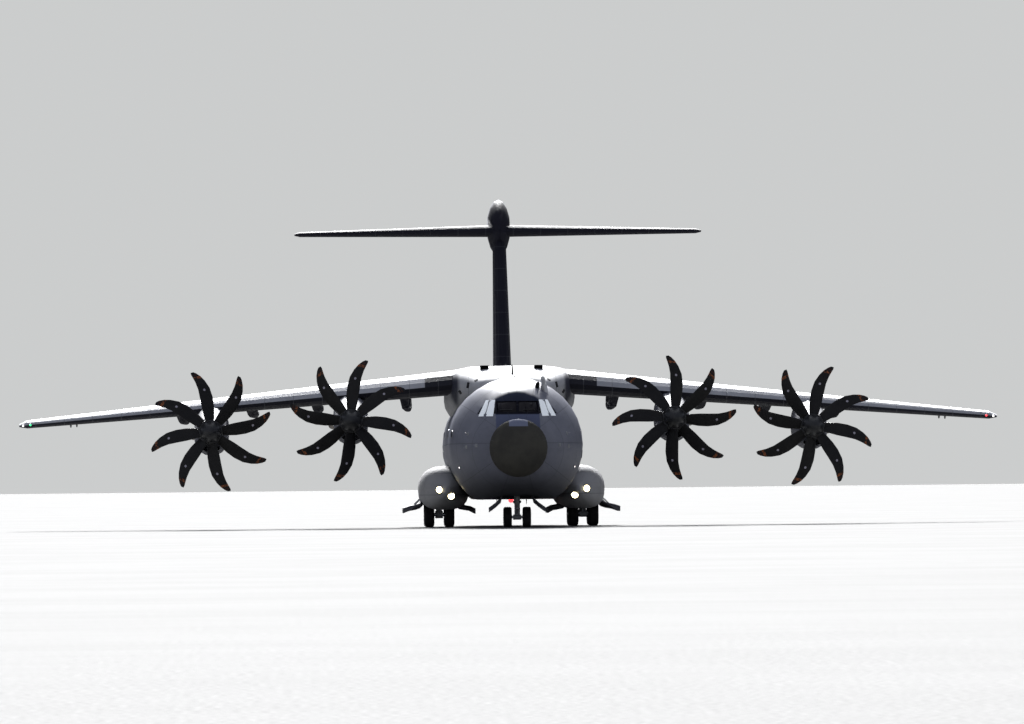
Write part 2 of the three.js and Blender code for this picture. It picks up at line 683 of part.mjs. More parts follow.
function armBody({ at }) {
  const { behind, drop } = FLAP_HINGE;
  const start = at + POD.half + RUN;
  const outline = [
    [0.03, 0.0], [0.03, -drop + 0.02], [behind - 0.05, -drop - 0.08], [behind + 0.06, -drop - 0.09],
    [0.75, -0.36], [1.25, -0.10], [1.15, 0.0],
  ];
  return alongX(outline, start, start + POD.arm);
}

function podPin({ at }, radius, inward, outward) {
  const { behind, drop } = FLAP_HINGE;
  const from = at + POD.half - inward;
  const to = at + POD.half + RUN + POD.arm + outward;
  return bar([from, behind, -drop], [to, behind, -drop], radius, radius, PIN_SIDES);
}

function makeWing(sideName, side) {
  const loftBody = wingLoft(side);
  const aileronFrame = spanFrame(side, AILERON, AILERON.share);
  const radii = [AILERON.from, AILERON.to].map((x) => wingHalfThickness(x, AILERON.share));
  const { surface, fixed } = hinged(loftBody, loftBody, aileronFrame, radii);
  place(`aileron_${sideName}`, surface, 'grey', aileronFrame.start.toArray());

  let wing = fixed.subtract(fairingLoft(GAP)).subtract(hull(12, 26, -GAP));
  for (const flap of FLAPS) {
    const frame = spanFrame(side, flap, FLAP_HINGE.share);
    const stations = flap.pods.map(({ x, deep }) => (
      { at: (frame.length * (x - flap.from)) / (flap.to - flap.from), deep }));
    const slab = (grow) => inFrame(frame, box([-grow, -grow, -0.8], [frame.length + grow, 4, 0.8]));
    const arms = inFrame(frame, joined(stations.map(armBody)));
    const bores = inFrame(frame, joined(stations.map((pod) => podPin(pod, bored(POD.pin), 0, 0.1))));
    const panel = loftBody.intersect(slab(0)).add(arms).subtract(bores);
    const pods = joined(stations.map((pod) => podBody(pod).add(podPin(pod, POD.pin, 0.05, 0.01))));
    wing = wing.subtract(slab(RUN)).add(inFrame(frame, pods));
    const pivot = new THREE.Vector3(0, FLAP_HINGE.behind, -FLAP_HINGE.drop).applyMatrix4(frame.matrix);
    place(`flap_${flap.name}_${sideName}`, panel, 'grey', pivot.toArray());
  }
  place(`wing_${sideName}`, wing, 'grey');
}

// Nacelle sections: aft of the propeller plane, half width, top and bottom from the engine's axis
const NACELLE = { leadingEdge: 4.05, sides: 20, power: 2.3 };
const INTAKE = { half: 0.38, depth: 0.60, rise: 0.14, drop: 0.70 };
const SHAFT_END = 0.9;

function nacelleSections(chord) {
  const { leadingEdge } = NACELLE;
  return [
    { aft: 0.34, half: 0.52, top: 0.50, low: -0.92 },
    { aft: 0.95, half: 0.67, top: 0.62, low: -1.00 },
    { aft: 2.40, half: 0.75, top: 0.86, low: -1.01 },
    { aft: leadingEdge, half: 0.76, top: 1.12, low: -0.98 },
    { aft: leadingEdge + 0.28 * chord, half: 0.66, top: 1.14, low: -0.55 },
    { aft: leadingEdge + 0.58 * chord, half: 0.24, top: 1.02, low: 0.42 },
  ];
}

function makeEngine({ name, x, y, z }, sideName, side) {
  const wingChord = wingSection(x).chord;
  const sections = nacelleSections(wingChord);
  const rings = sections.map(({ aft, half, top, low }) => Array.from(
    { length: NACELLE.sides }, (_, i) => {
      const angle = (2 * Math.PI * i) / NACELLE.sides;
      const curve = 2 / NACELLE.power;
      const across = Math.sign(Math.sin(angle)) * Math.abs(Math.sin(angle)) ** curve;
      const up = Math.sign(Math.cos(angle)) * Math.abs(Math.cos(angle)) ** curve;
      return [side * x + half * across, y + aft, z + (top + low) / 2 + up * (top - low) / 2];
    }));
  const bore = bored(PROPELLER.shaft, PROPELLER.sides);
  const shaftBore = bar([side * x, y, z], [side * x, y + SHAFT_END + 0.05, z], bore, bore, PROPELLER.sides);
  const intake = new THREE.SphereGeometry(1, 12, 8);
  intake.scale(INTAKE.half, INTAKE.depth, INTAKE.rise);
  intake.translate(side * x, y + sections[0].aft, z - INTAKE.drop);
  const body = loft(rings)
    .subtract(wingLoft(side, GAP))
    .subtract(shaftBore)
    .subtract(solid(intake));
  place(`nacelle_${name}_${sideName}`, body, 'grey');
}

// Blade stations: share of the radius, angle off the straight blade as seen from the front,
// width as seen from the front, pitch and thickness
const BLADE = [
  { r: 0.155, lean: 6.2, width: 0.40, pitch: 34, thick: 0.13 },
  { r: 0.28, lean: 6.0, width: 0.49, pitch: 28, thick: 0.095 },
  { r: 0.45, lean: 5.0, width: 0.52, pitch: 20, thick: 0.065 },
  { r: 0.62, lean: 3.6, width: 0.49, pitch: 16, thick: 0.048 },
  { r: 0.78, lean: 0.9, width: 0.42, pitch: 12, thick: 0.034 },
  { r: 0.90, lean: -2.7, width: 0.31, pitch: 10, thick: 0.026 },
  { r: 0.97, lean: -5.1, width: 0.20, pitch: 9.5, thick: 0.020 },
  { r: 1.0, lean: -6.1, width: 0.08, pitch: 9, thick: 0.014 },
];

// One blade pointing up, swept one way or the other
function bladeLoft(hand) {
  const degree = Math.PI / 180;
  const outline = [[-0.5, 0], [-0.2, 0.5], [0.2, 0.5], [0.5, 0], [0.2, -0.4], [-0.2, -0.4]];
  return loft(BLADE.map(({ r, lean, width, pitch, thick }) => {
    const radius = r * PROPELLER.radius;
    return outline.map(([chord, side]) => {
      const across = width * chord;
      const along = across * Math.tan(pitch * degree) + side * thick;
      const angle = lean * degree + across / radius;
      return [hand * radius * Math.sin(angle), along, radius * Math.cos(angle)];
    });
  }));
}

// Blunt cone from its tip ahead of the blades to its flat back, with the shaft behind it
function spinnerBody() {
  const { spinner, spinnerFront, spinnerBack, shaft } = PROPELLER;
  const profile = [new THREE.Vector2(0, spinnerFront)];
  for (const share of [0.12, 0.4, 0.7, 1]) {
    const along = mix(-spinnerFront, spinnerBack - 0.08, share);
    profile.push(new THREE.Vector2(spinner * Math.sqrt(1 - (1 - share) ** 2.2), -along));
  }
  profile.push(new THREE.Vector2(spinner, -spinnerBack), new THREE.Vector2(shaft, -spinnerBack));
  profile.push(new THREE.Vector2(shaft, -SHAFT_END), new THREE.Vector2(0, -SHAFT_END));
  const geometry = new THREE.LatheGeometry(profile, PROPELLER.sides);
  geometry.rotateX(Math.PI);
  return solid(geometry);
}

// Turns of the blades as parked, each in degrees from straight up, and which way the tips sweep
const PARKED = {
  outer_right: { turn: 11.1, hand: 1 },
  inner_right: { turn: 35.7, hand: -1 },
  inner_left: { turn: -0.2, hand: 1 },
  outer_left: { turn: 31.6, hand: -1 },
};

function makePropeller({ name, x, y, z }, sideName, side) {
  const { turn, hand } = PARKED[`${name}_${sideName}`];
  const step = 360 / PROPELLER.blades;
  const blade = bladeLoft(hand);
  const blades = Array.from({ length: PROPELLER.blades }, (_, i) => blade.rotate([0, -(turn + i * step), 0]));
  const body = joined([spinnerBody(), ...blades]).translate([side * x, y, z]);
  place(`propeller_${name}_${sideName}`, body, 'blade', [side * x, y, z]);
}

// Sponson sections: place along the body, centre and half width, bottom and top
const SPONSON = [
  { y: 13.5, x: 2.74, half: 0.12, low: 1.45, top: 1.75 },
  { y: 13.85, x: 2.80, half: 0.50, low: 1.14, top: 2.12 },
  { y: 14.6, x: 2.87, half: 0.86, low: 0.86, top: 2.44 },
  { y: 15.9, x: 2.90, half: 1.06, low: 0.74, top: 2.62 },
  { y: 22.4, x: 2.90, half: 1.06, low: 0.74, top: 2.62 },
  { y: 24.2, x: 2.85, half: 0.72, low: 1.00, top: 2.35 },
  { y: 25.4, x: 2.74, half: 0.12, low: 1.50, top: 1.85 },
];

const SPONSON_CURVE = { sides: 24, above: 2.15, below: 2.9 };

function sponsonLoft(side, grow = 0) {
  const { sides, above, below } = SPONSON_CURVE;
  return loft(SPONSON.map(({ y, x, half, low, top }) => Array.from({ length: sides }, (_, i) => {
    const angle = (2 * Math.PI * i) / sides;
    const curve = 2 / (Math.cos(angle) > 0 ? above : below);
    const across = Math.sign(Math.sin(angle)) * Math.abs(Math.sin(angle)) ** curve;
    const up = Math.sign(Math.cos(angle)) * Math.abs(Math.cos(angle)) ** curve;
    return [side * (x + (half + grow) * across), y, (low + top) / 2 + up * ((top - low) / 2 + grow)];
  })));
}

function bayBox(side, grow = 0) {
  const { inner: near, outer: far, from, to, roof } = MAIN_BAY;
  const reach = [side * (near - grow), side * (far + grow)].sort((a, b) => a - b);
  return box([reach[0], from - grow, 0], [reach[1], to + grow, roof + grow]);
}

function makeSponson(sideName, side) {
  const body = sponsonLoft(side).subtract(hull(12, 26.5, -GAP)).subtract(bayBox(side));
  place(`sponson_${sideName}`, body, 'darkGrey');
}

// Middle lines of the open bay doors as [x, z], and their thickness
const MAIN_DOORS = {
  outer: [[3.80, 1.06], [3.92, 0.93], [4.12, 0.86], [4.40, 0.81], [4.65, 0.72]],
  inner: [[2.32, 0.98], [2.20, 0.86], [2.00, 0.82], [1.76, 0.78], [1.55, 0.67]],
};
const NOSE_DOOR = [[0.65, 1.30], [0.70, 1.12], [0.90, 0.94], [1.17, 0.74]];
const BAY_DOOR = { main: 0.22, nose: 0.18 };

// Open bay doors as bent strips, each drawn out along the bay
function bentStrip(points, thickness) {
  const upper = points.map(([x, z]) => [x, z + thickness / 2]);
  const lower = points.map(([x, z]) => [x, z - thickness / 2]).reverse();
  return [...upper, ...lower];
}

function makeMainDoors(sideName, side) {
  const { from, to } = MAIN_BAY;
  for (const [which, points] of Object.entries(MAIN_DOORS)) {
    const outline = bentStrip(points, BAY_DOOR.main).map(([x, z]) => [side * x, z]);
    const body = alongY(outline, from + 0.05, to - 0.05)
      .subtract(sponsonLoft(side, GAP))
      .subtract(bayBox(side, GAP));
    place(`gear_door_${which}_${sideName}`, body, 'darkGrey');
  }
}

const WHEEL_SIDES = 16;

// Height of an axle whose faceted tyre rests on a flat side
function axleHeight(radius) {
  return radius * Math.cos(Math.PI / WHEEL_SIDES);
}

// Half profile of a tyre and wheel as [out from the tyre's middle, radius], from the axle to the axle's end
function twinProfile({ radius, width, spread, axle, rim }) {
  const half = width / 2;
  const side = [
    [-half * 0.72, axle], [-half * 0.78, rim], [-half, radius * 0.80], [-half * 0.55, radius],
    [half * 0.55, radius], [half, radius * 0.80], [half * 0.78, rim], [half * 0.6, 0],
  ].map(([out, r]) => [out + spread, r]);
  return [...side.map(([out, r]) => [-out, r]).reverse(), ...side];
}

// Two wheels on one axle that turns with them, about an axis along x
function twinWheels(wheel) {
  const profile = twinProfile(wheel).map(([out, r]) => new THREE.Vector2(r, out));
  const geometry = new THREE.LatheGeometry(profile, WHEEL_SIDES);
  geometry.rotateZ(Math.PI / 2);
  geometry.rotateX(Math.PI / WHEEL_SIDES);
  return solid(geometry);
}

function axleBore(x, y, z, half, radius) {
  const bore = bored(radius, WHEEL_SIDES);
  return bar([x - half, y, z], [x + half, y, z], bore, bore, WHEEL_SIDES);
}

// Main leg: half widths of beam and leg, beam depth, and how far each end of the leg lies from its axle
const LEG = {
  beamHalf: 0.14, beam: 0.16, beamOver: 0.35, half: 0.11, ahead: 0.42, behind: 0.12, foot: 0.10,
  boss: 0.16, bossHalf: 0.15,
};

// Three legs on one beam under the bay's roof, each with its bearing round the axle
function makeMainGear(sideName, side) {
  const { x, radius, axle } = MAIN_WHEEL;
  const centre = side * x;
  const height = axleHeight(radius);
  const roof = MAIN_BAY.roof - GAP;
  const beam = box(
    [centre - LEG.beamHalf, MAIN_AXLES[0] - LEG.beamOver, roof - LEG.beam],
    [centre + LEG.beamHalf, MAIN_AXLES[2] + LEG.beamOver, roof],
  );
  const legs = MAIN_AXLES.map((y) => {
    const slant = [
      [y - LEG.ahead, roof - 0.05], [y + LEG.behind, roof - 0.05],
      [y + LEG.behind + 0.02, height], [y - LEG.foot, height - 0.06],
    ];
    const [left, right] = [-LEG.bossHalf, LEG.bossHalf].map((x) => [centre + x, y, height]);
    const boss = bar(left, right, LEG.boss, LEG.boss, 12);
    return alongX(slant, centre - LEG.half, centre + LEG.half).add(boss);
  });
  const bores = joined(MAIN_AXLES.map((y) => axleBore(centre, y, height, 0.3, axle)));
  place(`main_gear_legs_${sideName}`, joined([beam, ...legs]).subtract(bores), 'gear');
  MAIN_AXLES.forEach((y, row) => {
    const wheels = twinWheels(MAIN_WHEEL).translate([centre, y, height]);
    place(`main_wheels_${row + 1}_${sideName}`, wheels, 'tyre', [centre, y, height]);
  });
}

// Steered strut: radii of the sliding piston and its sleeve, and the heights where they end
const STEER = { piston: 0.066, sleeve: 0.13, bottom: 0.98, top: 1.70, neck: 0.80, sides: 16 };
const BRACE = { radius: 0.06, low: 1.35, half: 0.25, from: 0.10, to: 0.34, depth: 0.14 };
const STRUT_HEAD = { half: 0.4, along: 0.12, depth: 0.12 };
const FORK = { half: 0.17, axle: 0.11, neck: 0.10 };

function makeNoseGear() {
  const { y, radius, axle } = NOSE_WHEEL;
  const height = axleHeight(radius);
  const roof = NOSE_BAY.roof - GAP;
  const front = NOSE_BAY.from;
  const bore = bored(STEER.piston, STEER.sides);
  const leg = joined([
    bar([0, y, STEER.bottom], [0, y, roof], STEER.sleeve, STEER.sleeve, STEER.sides),
    bar([0, y, BRACE.low], [0, front + 0.2, roof - 0.08], BRACE.radius, BRACE.radius, 10),
    box([-BRACE.half, front + BRACE.from, roof - BRACE.depth], [BRACE.half, front + BRACE.to, roof]),
    box([-STRUT_HEAD.half, y - STRUT_HEAD.along, roof - STRUT_HEAD.depth],
      [STRUT_HEAD.half, y + STRUT_HEAD.along, roof]),
  ]).subtract(bar([0, y, 0.5], [0, y, STEER.top], bore, bore, STEER.sides));
  place('nose_gear_leg', leg, 'gear');

  const fork = joined([
    bar([0, y, height], [0, y, STEER.top - 0.02], STEER.piston, STEER.piston, STEER.sides),
    bar([-FORK.half, y, height], [FORK.half, y, height], FORK.axle, FORK.axle, STEER.sides),
    bar([0, y, height], [0, y, STEER.neck], FORK.neck, FORK.neck, STEER.sides),
  ]).subtract(axleBore(0, y, height, 0.3, axle));
  place('nose_gear_fork', fork, 'gear', [0, y, height]);
  place('nose_wheels', twinWheels(NOSE_WHEEL).translate([0, y, height]), 'tyre', [0, y, height]);

  for (const [sideName, side] of [['left', 1], ['right', -1]]) {
    const outline = bentStrip(NOSE_DOOR, BAY_DOOR.nose).map(([x, z]) => [side * x, z]);
    const body = alongY(outline, NOSE_BAY.from + 0.06, NOSE_BAY.to - 0.06)
      .subtract(hull(3.5, 7, -GAP))
      .subtract(box([-0.62, 3.5, 0], [0.62, 7, 2]));
    place(`nose_door_${sideName}`, body, 'darkGrey');
  }
}

// Bullet fairing where the tailplane crosses the fin: place, half width, bottom and top
const BULLET_SECTIONS = [
  { y: 38.1, half: 0.06, low: 13.10, top: 13.30 },
  { y: 38.7, half: 0.33, low: 12.70, top: 13.95 },
  { y: 39.9, half: 0.51, low: 12.25, top: 14.52 },
  { y: 41.4, half: 0.535, low: 12.15, top: 14.70 },
  { y: 43.2, half: 0.40, low: 12.50, top: 14.30 },
  { y: 45.1, half: 0.05, low: 13.30, top: 13.55 },
];

function bulletLoft(grow = 0) {
  const sides = 16;
  return loft(BULLET_SECTIONS.map(({ y, half, low, top }) => Array.from({ length: sides }, (_, i) => {
    const angle = (2 * Math.PI * i) / sides;
    return [(half + grow) * Math.sin(angle), y, (low + top) / 2 + Math.cos(angle) * ((top - low) / 2 + grow)];
  })));
}

const TAIL_TIP = { inset: 0.25, aft: 0.35, narrower: 0.6, thickness: 0.06 };

function tailplaneLoft(grow = 0) {
  const { root, tip } = TAILPLANE;
  const { inset, aft: behind, narrower, thickness } = TAIL_TIP;
  const cap = { ...tip, y: tip.y + behind, chord: tip.chord - narrower, thickness };
  const inboard = between([root, tip], (tip.x - inset) / tip.x);
  const sections = [[-1, cap], [-1, inboard], [1, root], [1, inboard], [1, cap]];
  return loft(sections.map(([side, section]) => foil(section, 0, grow)
    .map(([aft, up]) => [side * section.x, section.y + aft, section.z + up])));
}

function finLoft() {
  const { root, top } = FIN;
  return loft([root, top].map((section) => foil(section, 0, 0)
    .map(([aft, across]) => [across, section.y + aft, section.z])));
}

// Low ridge that leads from the body's crown into the fin's front edge
const FIN_FILLET = { half: 0.15, outline: [[29.2, 6.25], [34.5, 6.10], [34.9, 8.2], [33.0, 7.05]] };

function makeTail() {
  const spar = ([a, b], x, share) => {
    const section = between([a, b], x / TAILPLANE.tip.x);
    return new THREE.Vector3(x, section.y + share * section.chord, section.z);
  };
  let tail = tailplaneLoft();
  const whole = tailplaneLoft();
  const { root, tip } = TAILPLANE;
  for (const [sideName, side] of [['left', 1], ['right', -1]]) {
    const flip = new THREE.Vector3(side, 1, 1);
    const ends = [ELEVATOR.from, ELEVATOR.to].map((x) => spar([root, tip], x, ELEVATOR.share).multiply(flip));
    const frame = hingeFrame(...ends, UP);
    const radii = [ELEVATOR.from, ELEVATOR.to].map((x) => {
      const section = between([root, tip], x / tip.x);
      return halfThickness(ELEVATOR.share) * section.thickness * section.chord;
    });
    const { surface, fixed } = hinged(whole, tail, frame, radii, 0.5);
    tail = fixed;
    place(`elevator_${sideName}`, surface, 'grey', frame.start.toArray());
  }
  const crown = tail.add(bulletLoft());
  place('tailplane', crown, 'grey');

  const finAt = (z) => between([FIN.root, FIN.top], (z - FIN.root.z) / (FIN.top.z - FIN.root.z));
  const ends = [RUDDER.from, RUDDER.to].map((z) => {
    const section = finAt(z);
    return new THREE.Vector3(0, section.y + RUDDER.share * section.chord, z);
  });
  const radii = [RUDDER.from, RUDDER.to].map((z) => {
    const section = finAt(z);
    return halfThickness(RUDDER.share) * section.thickness * section.chord;
  });
  const frame = hingeFrame(...ends, new THREE.Vector3(1, 0, 0));
  const fin = finLoft().add(alongX(FIN_FILLET.outline, -FIN_FILLET.half, FIN_FILLET.half));
  const aboveRoot = (grow) => box([-2, 30, RUDDER.from - (grow ? RUDDER.dip : 0)], [2, 50, 20]);
  const { surface, fixed } = hinged(fin, fin, frame, radii, 0.8, aboveRoot);
  place('rudder', surface, 'grey', frame.start.toArray());
  place('fin', fixed.subtract(bulletLoft(GAP)).subtract(hull(27, 43.4, -GAP)), 'grey');
}

makeRadome();
makeNose();
makeCrewDoor();
makeGlazing();
makeFlightDeck();
makeCargoFloor();
makeFairing();
makeCentre();
makeJumpDoors();
makeRear();
makeRamp();
makeLid();
makeProbe();
for (const [sideName, side] of [['left', 1], ['right', -1]]) {
  makeWing(sideName, side);
  makeSponson(sideName, side);
  makeMainDoors(sideName, side);
  makeMainGear(sideName, side);
  for (const engine of ENGINES) {
    makeEngine(engine, sideName, side);
    makePropeller(engine, sideName, side);
  }
}
makeNoseGear();
makeTail();

export default aircraft;
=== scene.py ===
# %% [markdown]
# # A four-engined military transport plane
# The solids come in finished from the imported part. They are the frame: each one says where a panel, wheel or
# blade is, and what it moves with. This lesson gives them paint, glass, rubber and metal, and adds the pieces
# that are too fine for the solids. We begin by loading the frame.

import json
import math

import bmesh
import bpy
import numpy as np
from mathutils import Matrix, Vector
from mathutils.bvhtree import BVHTree

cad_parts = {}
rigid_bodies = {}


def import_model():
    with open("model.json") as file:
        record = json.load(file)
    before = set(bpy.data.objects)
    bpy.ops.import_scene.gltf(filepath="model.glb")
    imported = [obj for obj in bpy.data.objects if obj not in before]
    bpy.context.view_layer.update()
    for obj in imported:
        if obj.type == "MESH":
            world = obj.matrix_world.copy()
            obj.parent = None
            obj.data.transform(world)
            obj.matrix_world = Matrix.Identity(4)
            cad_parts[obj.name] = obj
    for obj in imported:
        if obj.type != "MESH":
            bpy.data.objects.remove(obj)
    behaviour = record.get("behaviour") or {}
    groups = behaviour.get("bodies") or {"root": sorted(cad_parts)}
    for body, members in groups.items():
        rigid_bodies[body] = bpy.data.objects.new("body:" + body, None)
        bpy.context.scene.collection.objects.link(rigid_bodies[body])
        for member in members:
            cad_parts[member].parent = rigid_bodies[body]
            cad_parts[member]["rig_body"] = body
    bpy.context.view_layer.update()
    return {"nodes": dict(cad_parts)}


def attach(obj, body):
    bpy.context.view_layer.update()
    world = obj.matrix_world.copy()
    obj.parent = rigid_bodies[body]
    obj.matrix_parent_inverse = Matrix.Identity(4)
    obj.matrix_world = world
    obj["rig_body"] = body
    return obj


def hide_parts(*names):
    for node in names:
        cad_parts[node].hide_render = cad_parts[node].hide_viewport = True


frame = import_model()
nodes = frame["nodes"]

# %% [markdown]
# Sizes are easiest to check against the real aircraft, which is 45.1 m long. The part is half that size and its
# origin lies on the ground under the middle of its length. `real` turns a place on the real aircraft into a place
# in the scene: metres to its left, metres aft of the nose, and metres above the ground.

# %% Places on the real aircraft
REAL_LENGTH = 45.1
SIDES = (("left", 1), ("right", -1))


def real(left, aft, up):
    return Vector((left / 2, (aft - REAL_LENGTH / 2) / 2, up / 2))


print("nose tip", tuple(real(0, 0, 3.05)))

# %% [markdown]
# The photograph was taken from far away with a long lens, almost straight in front of the nose and close to the
# ground. A long lens flattens depth, so the tail looks nearly as wide as it is against the wing. The camera could
# be placed by eye, but its place, tilt and lens are better worked out from points that are easy to find in the
# picture: the propeller hubs, the wing tips, the top of the tail and the wheels.

# %% Camera
CAMERA_PLACE = Vector((-4.106, -216.72, 0.869))
CAMERA_YAW, CAMERA_PITCH, CAMERA_ROLL = 0.01937, 0.01239, -0.01033

bpy.ops.object.select_all(action="DESELECT")
bpy.ops.object.camera_add(location=CAMERA_PLACE)
camera = bpy.context.object
camera.name = "long_lens_camera"
camera.data.sensor_width = 36.0
camera.data.lens = 351.2
camera.data.clip_start, camera.data.clip_end = 1.0, 4000.0
ahead = Vector((
    math.sin(CAMERA_YAW) * math.cos(CAMERA_PITCH),
    math.cos(CAMERA_YAW) * math.cos(CAMERA_PITCH),
    math.sin(CAMERA_PITCH),
))
roll = Matrix.Rotation(CAMERA_ROLL, 3, "Z")
camera.rotation_euler = (ahead.to_track_quat("-Z", "Y").to_matrix() @ roll).to_euler()
bpy.context.scene.camera = camera
print("camera looks along", tuple(round(v, 4) for v in ahead))

# %% [markdown]
# A plain pale floor carries the wheels and catches soft shadows. It is one big square, wide enough to reach the
# horizon from a camera that stands low. It belongs to the stage and not to the aircraft.

# %% Floor
bpy.ops.mesh.primitive_plane_add(size=5000, location=(0, 0, 0))
floor = bpy.context.object
floor.name = "studio_floor"
print("floor", tuple(floor.dimensions))

# %% [markdown]
# The light is soft and comes mostly from above and behind, so the roof and wings turn pale while the nose and the
# undersides stay dark, as in the photograph. Lamps of the sun kind suit an aircraft this long, because their light
# is the same everywhere and leaves no bright pool on the floor. Their angle tells how wide the light looks: a wide
# angle gives soft shadows. The world adds a weak fill, and shows the camera a plain pale backdrop.


# %% Lights
def soft_sun(name, azimuth, height, angle, strength):
    """A lamp that shines from the azimuth (0 is ahead of the nose) and height, all in degrees."""
    bpy.ops.object.select_all(action="DESELECT")
    bpy.ops.object.light_add(type="SUN", location=(0, 0, 30))
    lamp = bpy.context.object
    lamp.name = name
    lamp.data.energy = strength
    lamp.data.angle = math.radians(angle)
    turn, rise = math.radians(azimuth), math.radians(height)
    towards = Vector((math.sin(turn) * math.cos(rise), -math.cos(turn) * math.cos(rise), math.sin(rise)))
    lamp.rotation_euler = towards.to_track_quat("Z", "Y").to_euler()
    print(name, "strength", strength)
    return lamp


soft_sun("back_light", 180, 23, 14, 15.0)
soft_sun("top_light", 170, 72, 60, 0.3)
soft_sun("front_light", -35, 25, 80, 0.12)


def make_world(fill, backdrop):
    """A weak light from all round, and a plain pale tone where the camera looks past the aircraft."""
    world = bpy.data.worlds.new("pale_world")
    world.use_nodes = True
    tree = world.node_tree
    plain = tree.nodes["Background"]
    plain.inputs["Color"].default_value = (*fill, 1)
    behind = tree.nodes.new("ShaderNodeBackground")
    behind.inputs["Color"].default_value = (*backdrop, 1)
    path = tree.nodes.new("ShaderNodeLightPath")
    both = tree.nodes.new("ShaderNodeMixShader")
    tree.links.new(path.outputs["Is Camera Ray"], both.inputs[0])
    tree.links.new(plain.outputs[0], both.inputs[1])
    tree.links.new(behind.outputs[0], both.inputs[2])
    tree.links.new(both.outputs[0], tree.nodes["World Output"].inputs["Surface"])
    return world


bpy.context.scene.world = make_world((0.235, 0.255, 0.315), (0.60, 0.61, 0.61))
bpy.context.scene.view_settings.view_transform = "Standard"
print("world ready")

# %% [markdown]
# ## Tools for materials
# Each material is a small network of nodes round one Principled shader. The next cells have short helpers, so that
# the networks read like a list: make a material, add a node, join two sockets, do a sum, mix two colours.


# %% Material helpers
def add_node(tree, kind, **values):
    """A node with the values of its unlinked inputs, by name."""
    made = tree.nodes.new(kind)
    for key, value in values.items():
        made.inputs[key.replace("_", " ")].default_value = value
    return made


def new_material(name, **values):
    """A material with one Principled shader whose plain values are given by name."""
    made = bpy.data.materials.new(name)
    made.use_nodes = True
    tree = made.node_tree
    shader = tree.nodes["Principled BSDF"]
    for key, value in values.items():
        shader.inputs[key.replace("_", " ")].default_value = value
    return made, tree, shader


def join(tree, start, end):
    tree.links.new(start, end)


def math_node(tree, operation, first, second=None):
    """A Math node fed by sockets or plain numbers; returns its output."""
    made = tree.nodes.new("ShaderNodeMath")
    made.operation = operation
    for index, value in enumerate((first, second)):
        if value is None:
            continue
        if isinstance(value, (int, float)):
            made.inputs[index].default_value = value
        else:
            tree.links.new(value, made.inputs[index])
    return made.outputs[0]


def times(tree, first, second):
    return math_node(tree, "MULTIPLY", first, second)


def minus(tree, first, second):
    return math_node(tree, "SUBTRACT", first, second)


def darker(tone, share):
    """The same colour with this share of its light."""
    return tuple(part * share for part in tone)


def colour_mix(tree, mask, under, over):
    """Lays a colour over another where the mask is 1. Colours are sockets or plain tuples."""
    made = tree.nodes.new("ShaderNodeMix")
    made.data_type = "RGBA"
    for index, value in ((0, mask), (6, under), (7, over)):
        if isinstance(value, (int, float)):
            made.inputs[index].default_value = value
        elif isinstance(value, tuple):
            made.inputs[index].default_value = (*value, 1)
        else:
            tree.links.new(value, made.inputs[index])
    return made.outputs[2]


def spread(tree, value, low, high, to_low=0.0, to_high=1.0, smooth=True):
    """Maps a value from one range to another; returns the output."""
    made = tree.nodes.new("ShaderNodeMapRange")
    made.interpolation_type = "SMOOTHSTEP" if smooth else "LINEAR"
    for index, number in ((1, low), (2, high), (3, to_low), (4, to_high)):
        made.inputs[index].default_value = number
    tree.links.new(value, made.inputs[0])
    return made.outputs[0]


print("helpers ready")


# %% Where a point lies and which way it faces
def in_parts(tree, kind):
    """The three parts of the point's Object place or of its Normal, and then the whole."""
    where = tree.nodes.new("ShaderNodeTexCoord").outputs[kind]
    parts = tree.nodes.new("ShaderNodeSeparateXYZ")
    join(tree, where, parts.inputs[0])
    return (*parts.outputs, where)


def place_sockets(tree):
    """The three Object coordinates of the point that is being shaded, in metres, and then all in one."""
    return in_parts(tree, "Object")


def facing(tree):
    """The three parts of the surface's direction: to the aircraft's left, aft and up."""
    return in_parts(tree, "Normal")[:3]


def finish_shader(tree, shader, colour, weather, roughness, height, strength, depth):
    """Gives the shader its colour, a roughness that varies with the specks, and a bump from the height."""
    join(tree, colour, shader.inputs["Base Color"])
    rough = spread(tree, weather.outputs["Specks"], 0, 1, *roughness, smooth=False)
    join(tree, rough, shader.inputs["Roughness"])
    bump = add_node(tree, "ShaderNodeBump", Strength=strength, Distance=depth)
    join(tree, height, bump.inputs["Height"])
    join(tree, bump.outputs[0], shader.inputs["Normal"])


print("surface helpers ready")

# %% [markdown]
# ### Seams, rivets and weather
# Three effects come back on nearly every surface, so each is a node group that is built once.
# *Seam lines* turn a distance into thin dark lines at even steps: the joints between skin panels.
# *Rivet dots* put a row of small heads beside each seam. *Weather* gives slow patches of lighter and darker
# paint, and streaks drawn out along the airflow. They could be painted as images, but nodes stay sharp from any
# distance and need no unwrapping.


# %% Shared groups
def new_group(name, inputs, outputs):
    group = bpy.data.node_groups.new(name, "ShaderNodeTree")
    for label, value in inputs:
        socket = group.interface.new_socket(label, in_out="INPUT", socket_type="NodeSocketFloat")
        socket.default_value = value
    for label, kind in outputs:
        group.interface.new_socket(label, in_out="OUTPUT", socket_type=kind)
    return group, group.nodes.new("NodeGroupInput"), group.nodes.new("NodeGroupOutput")


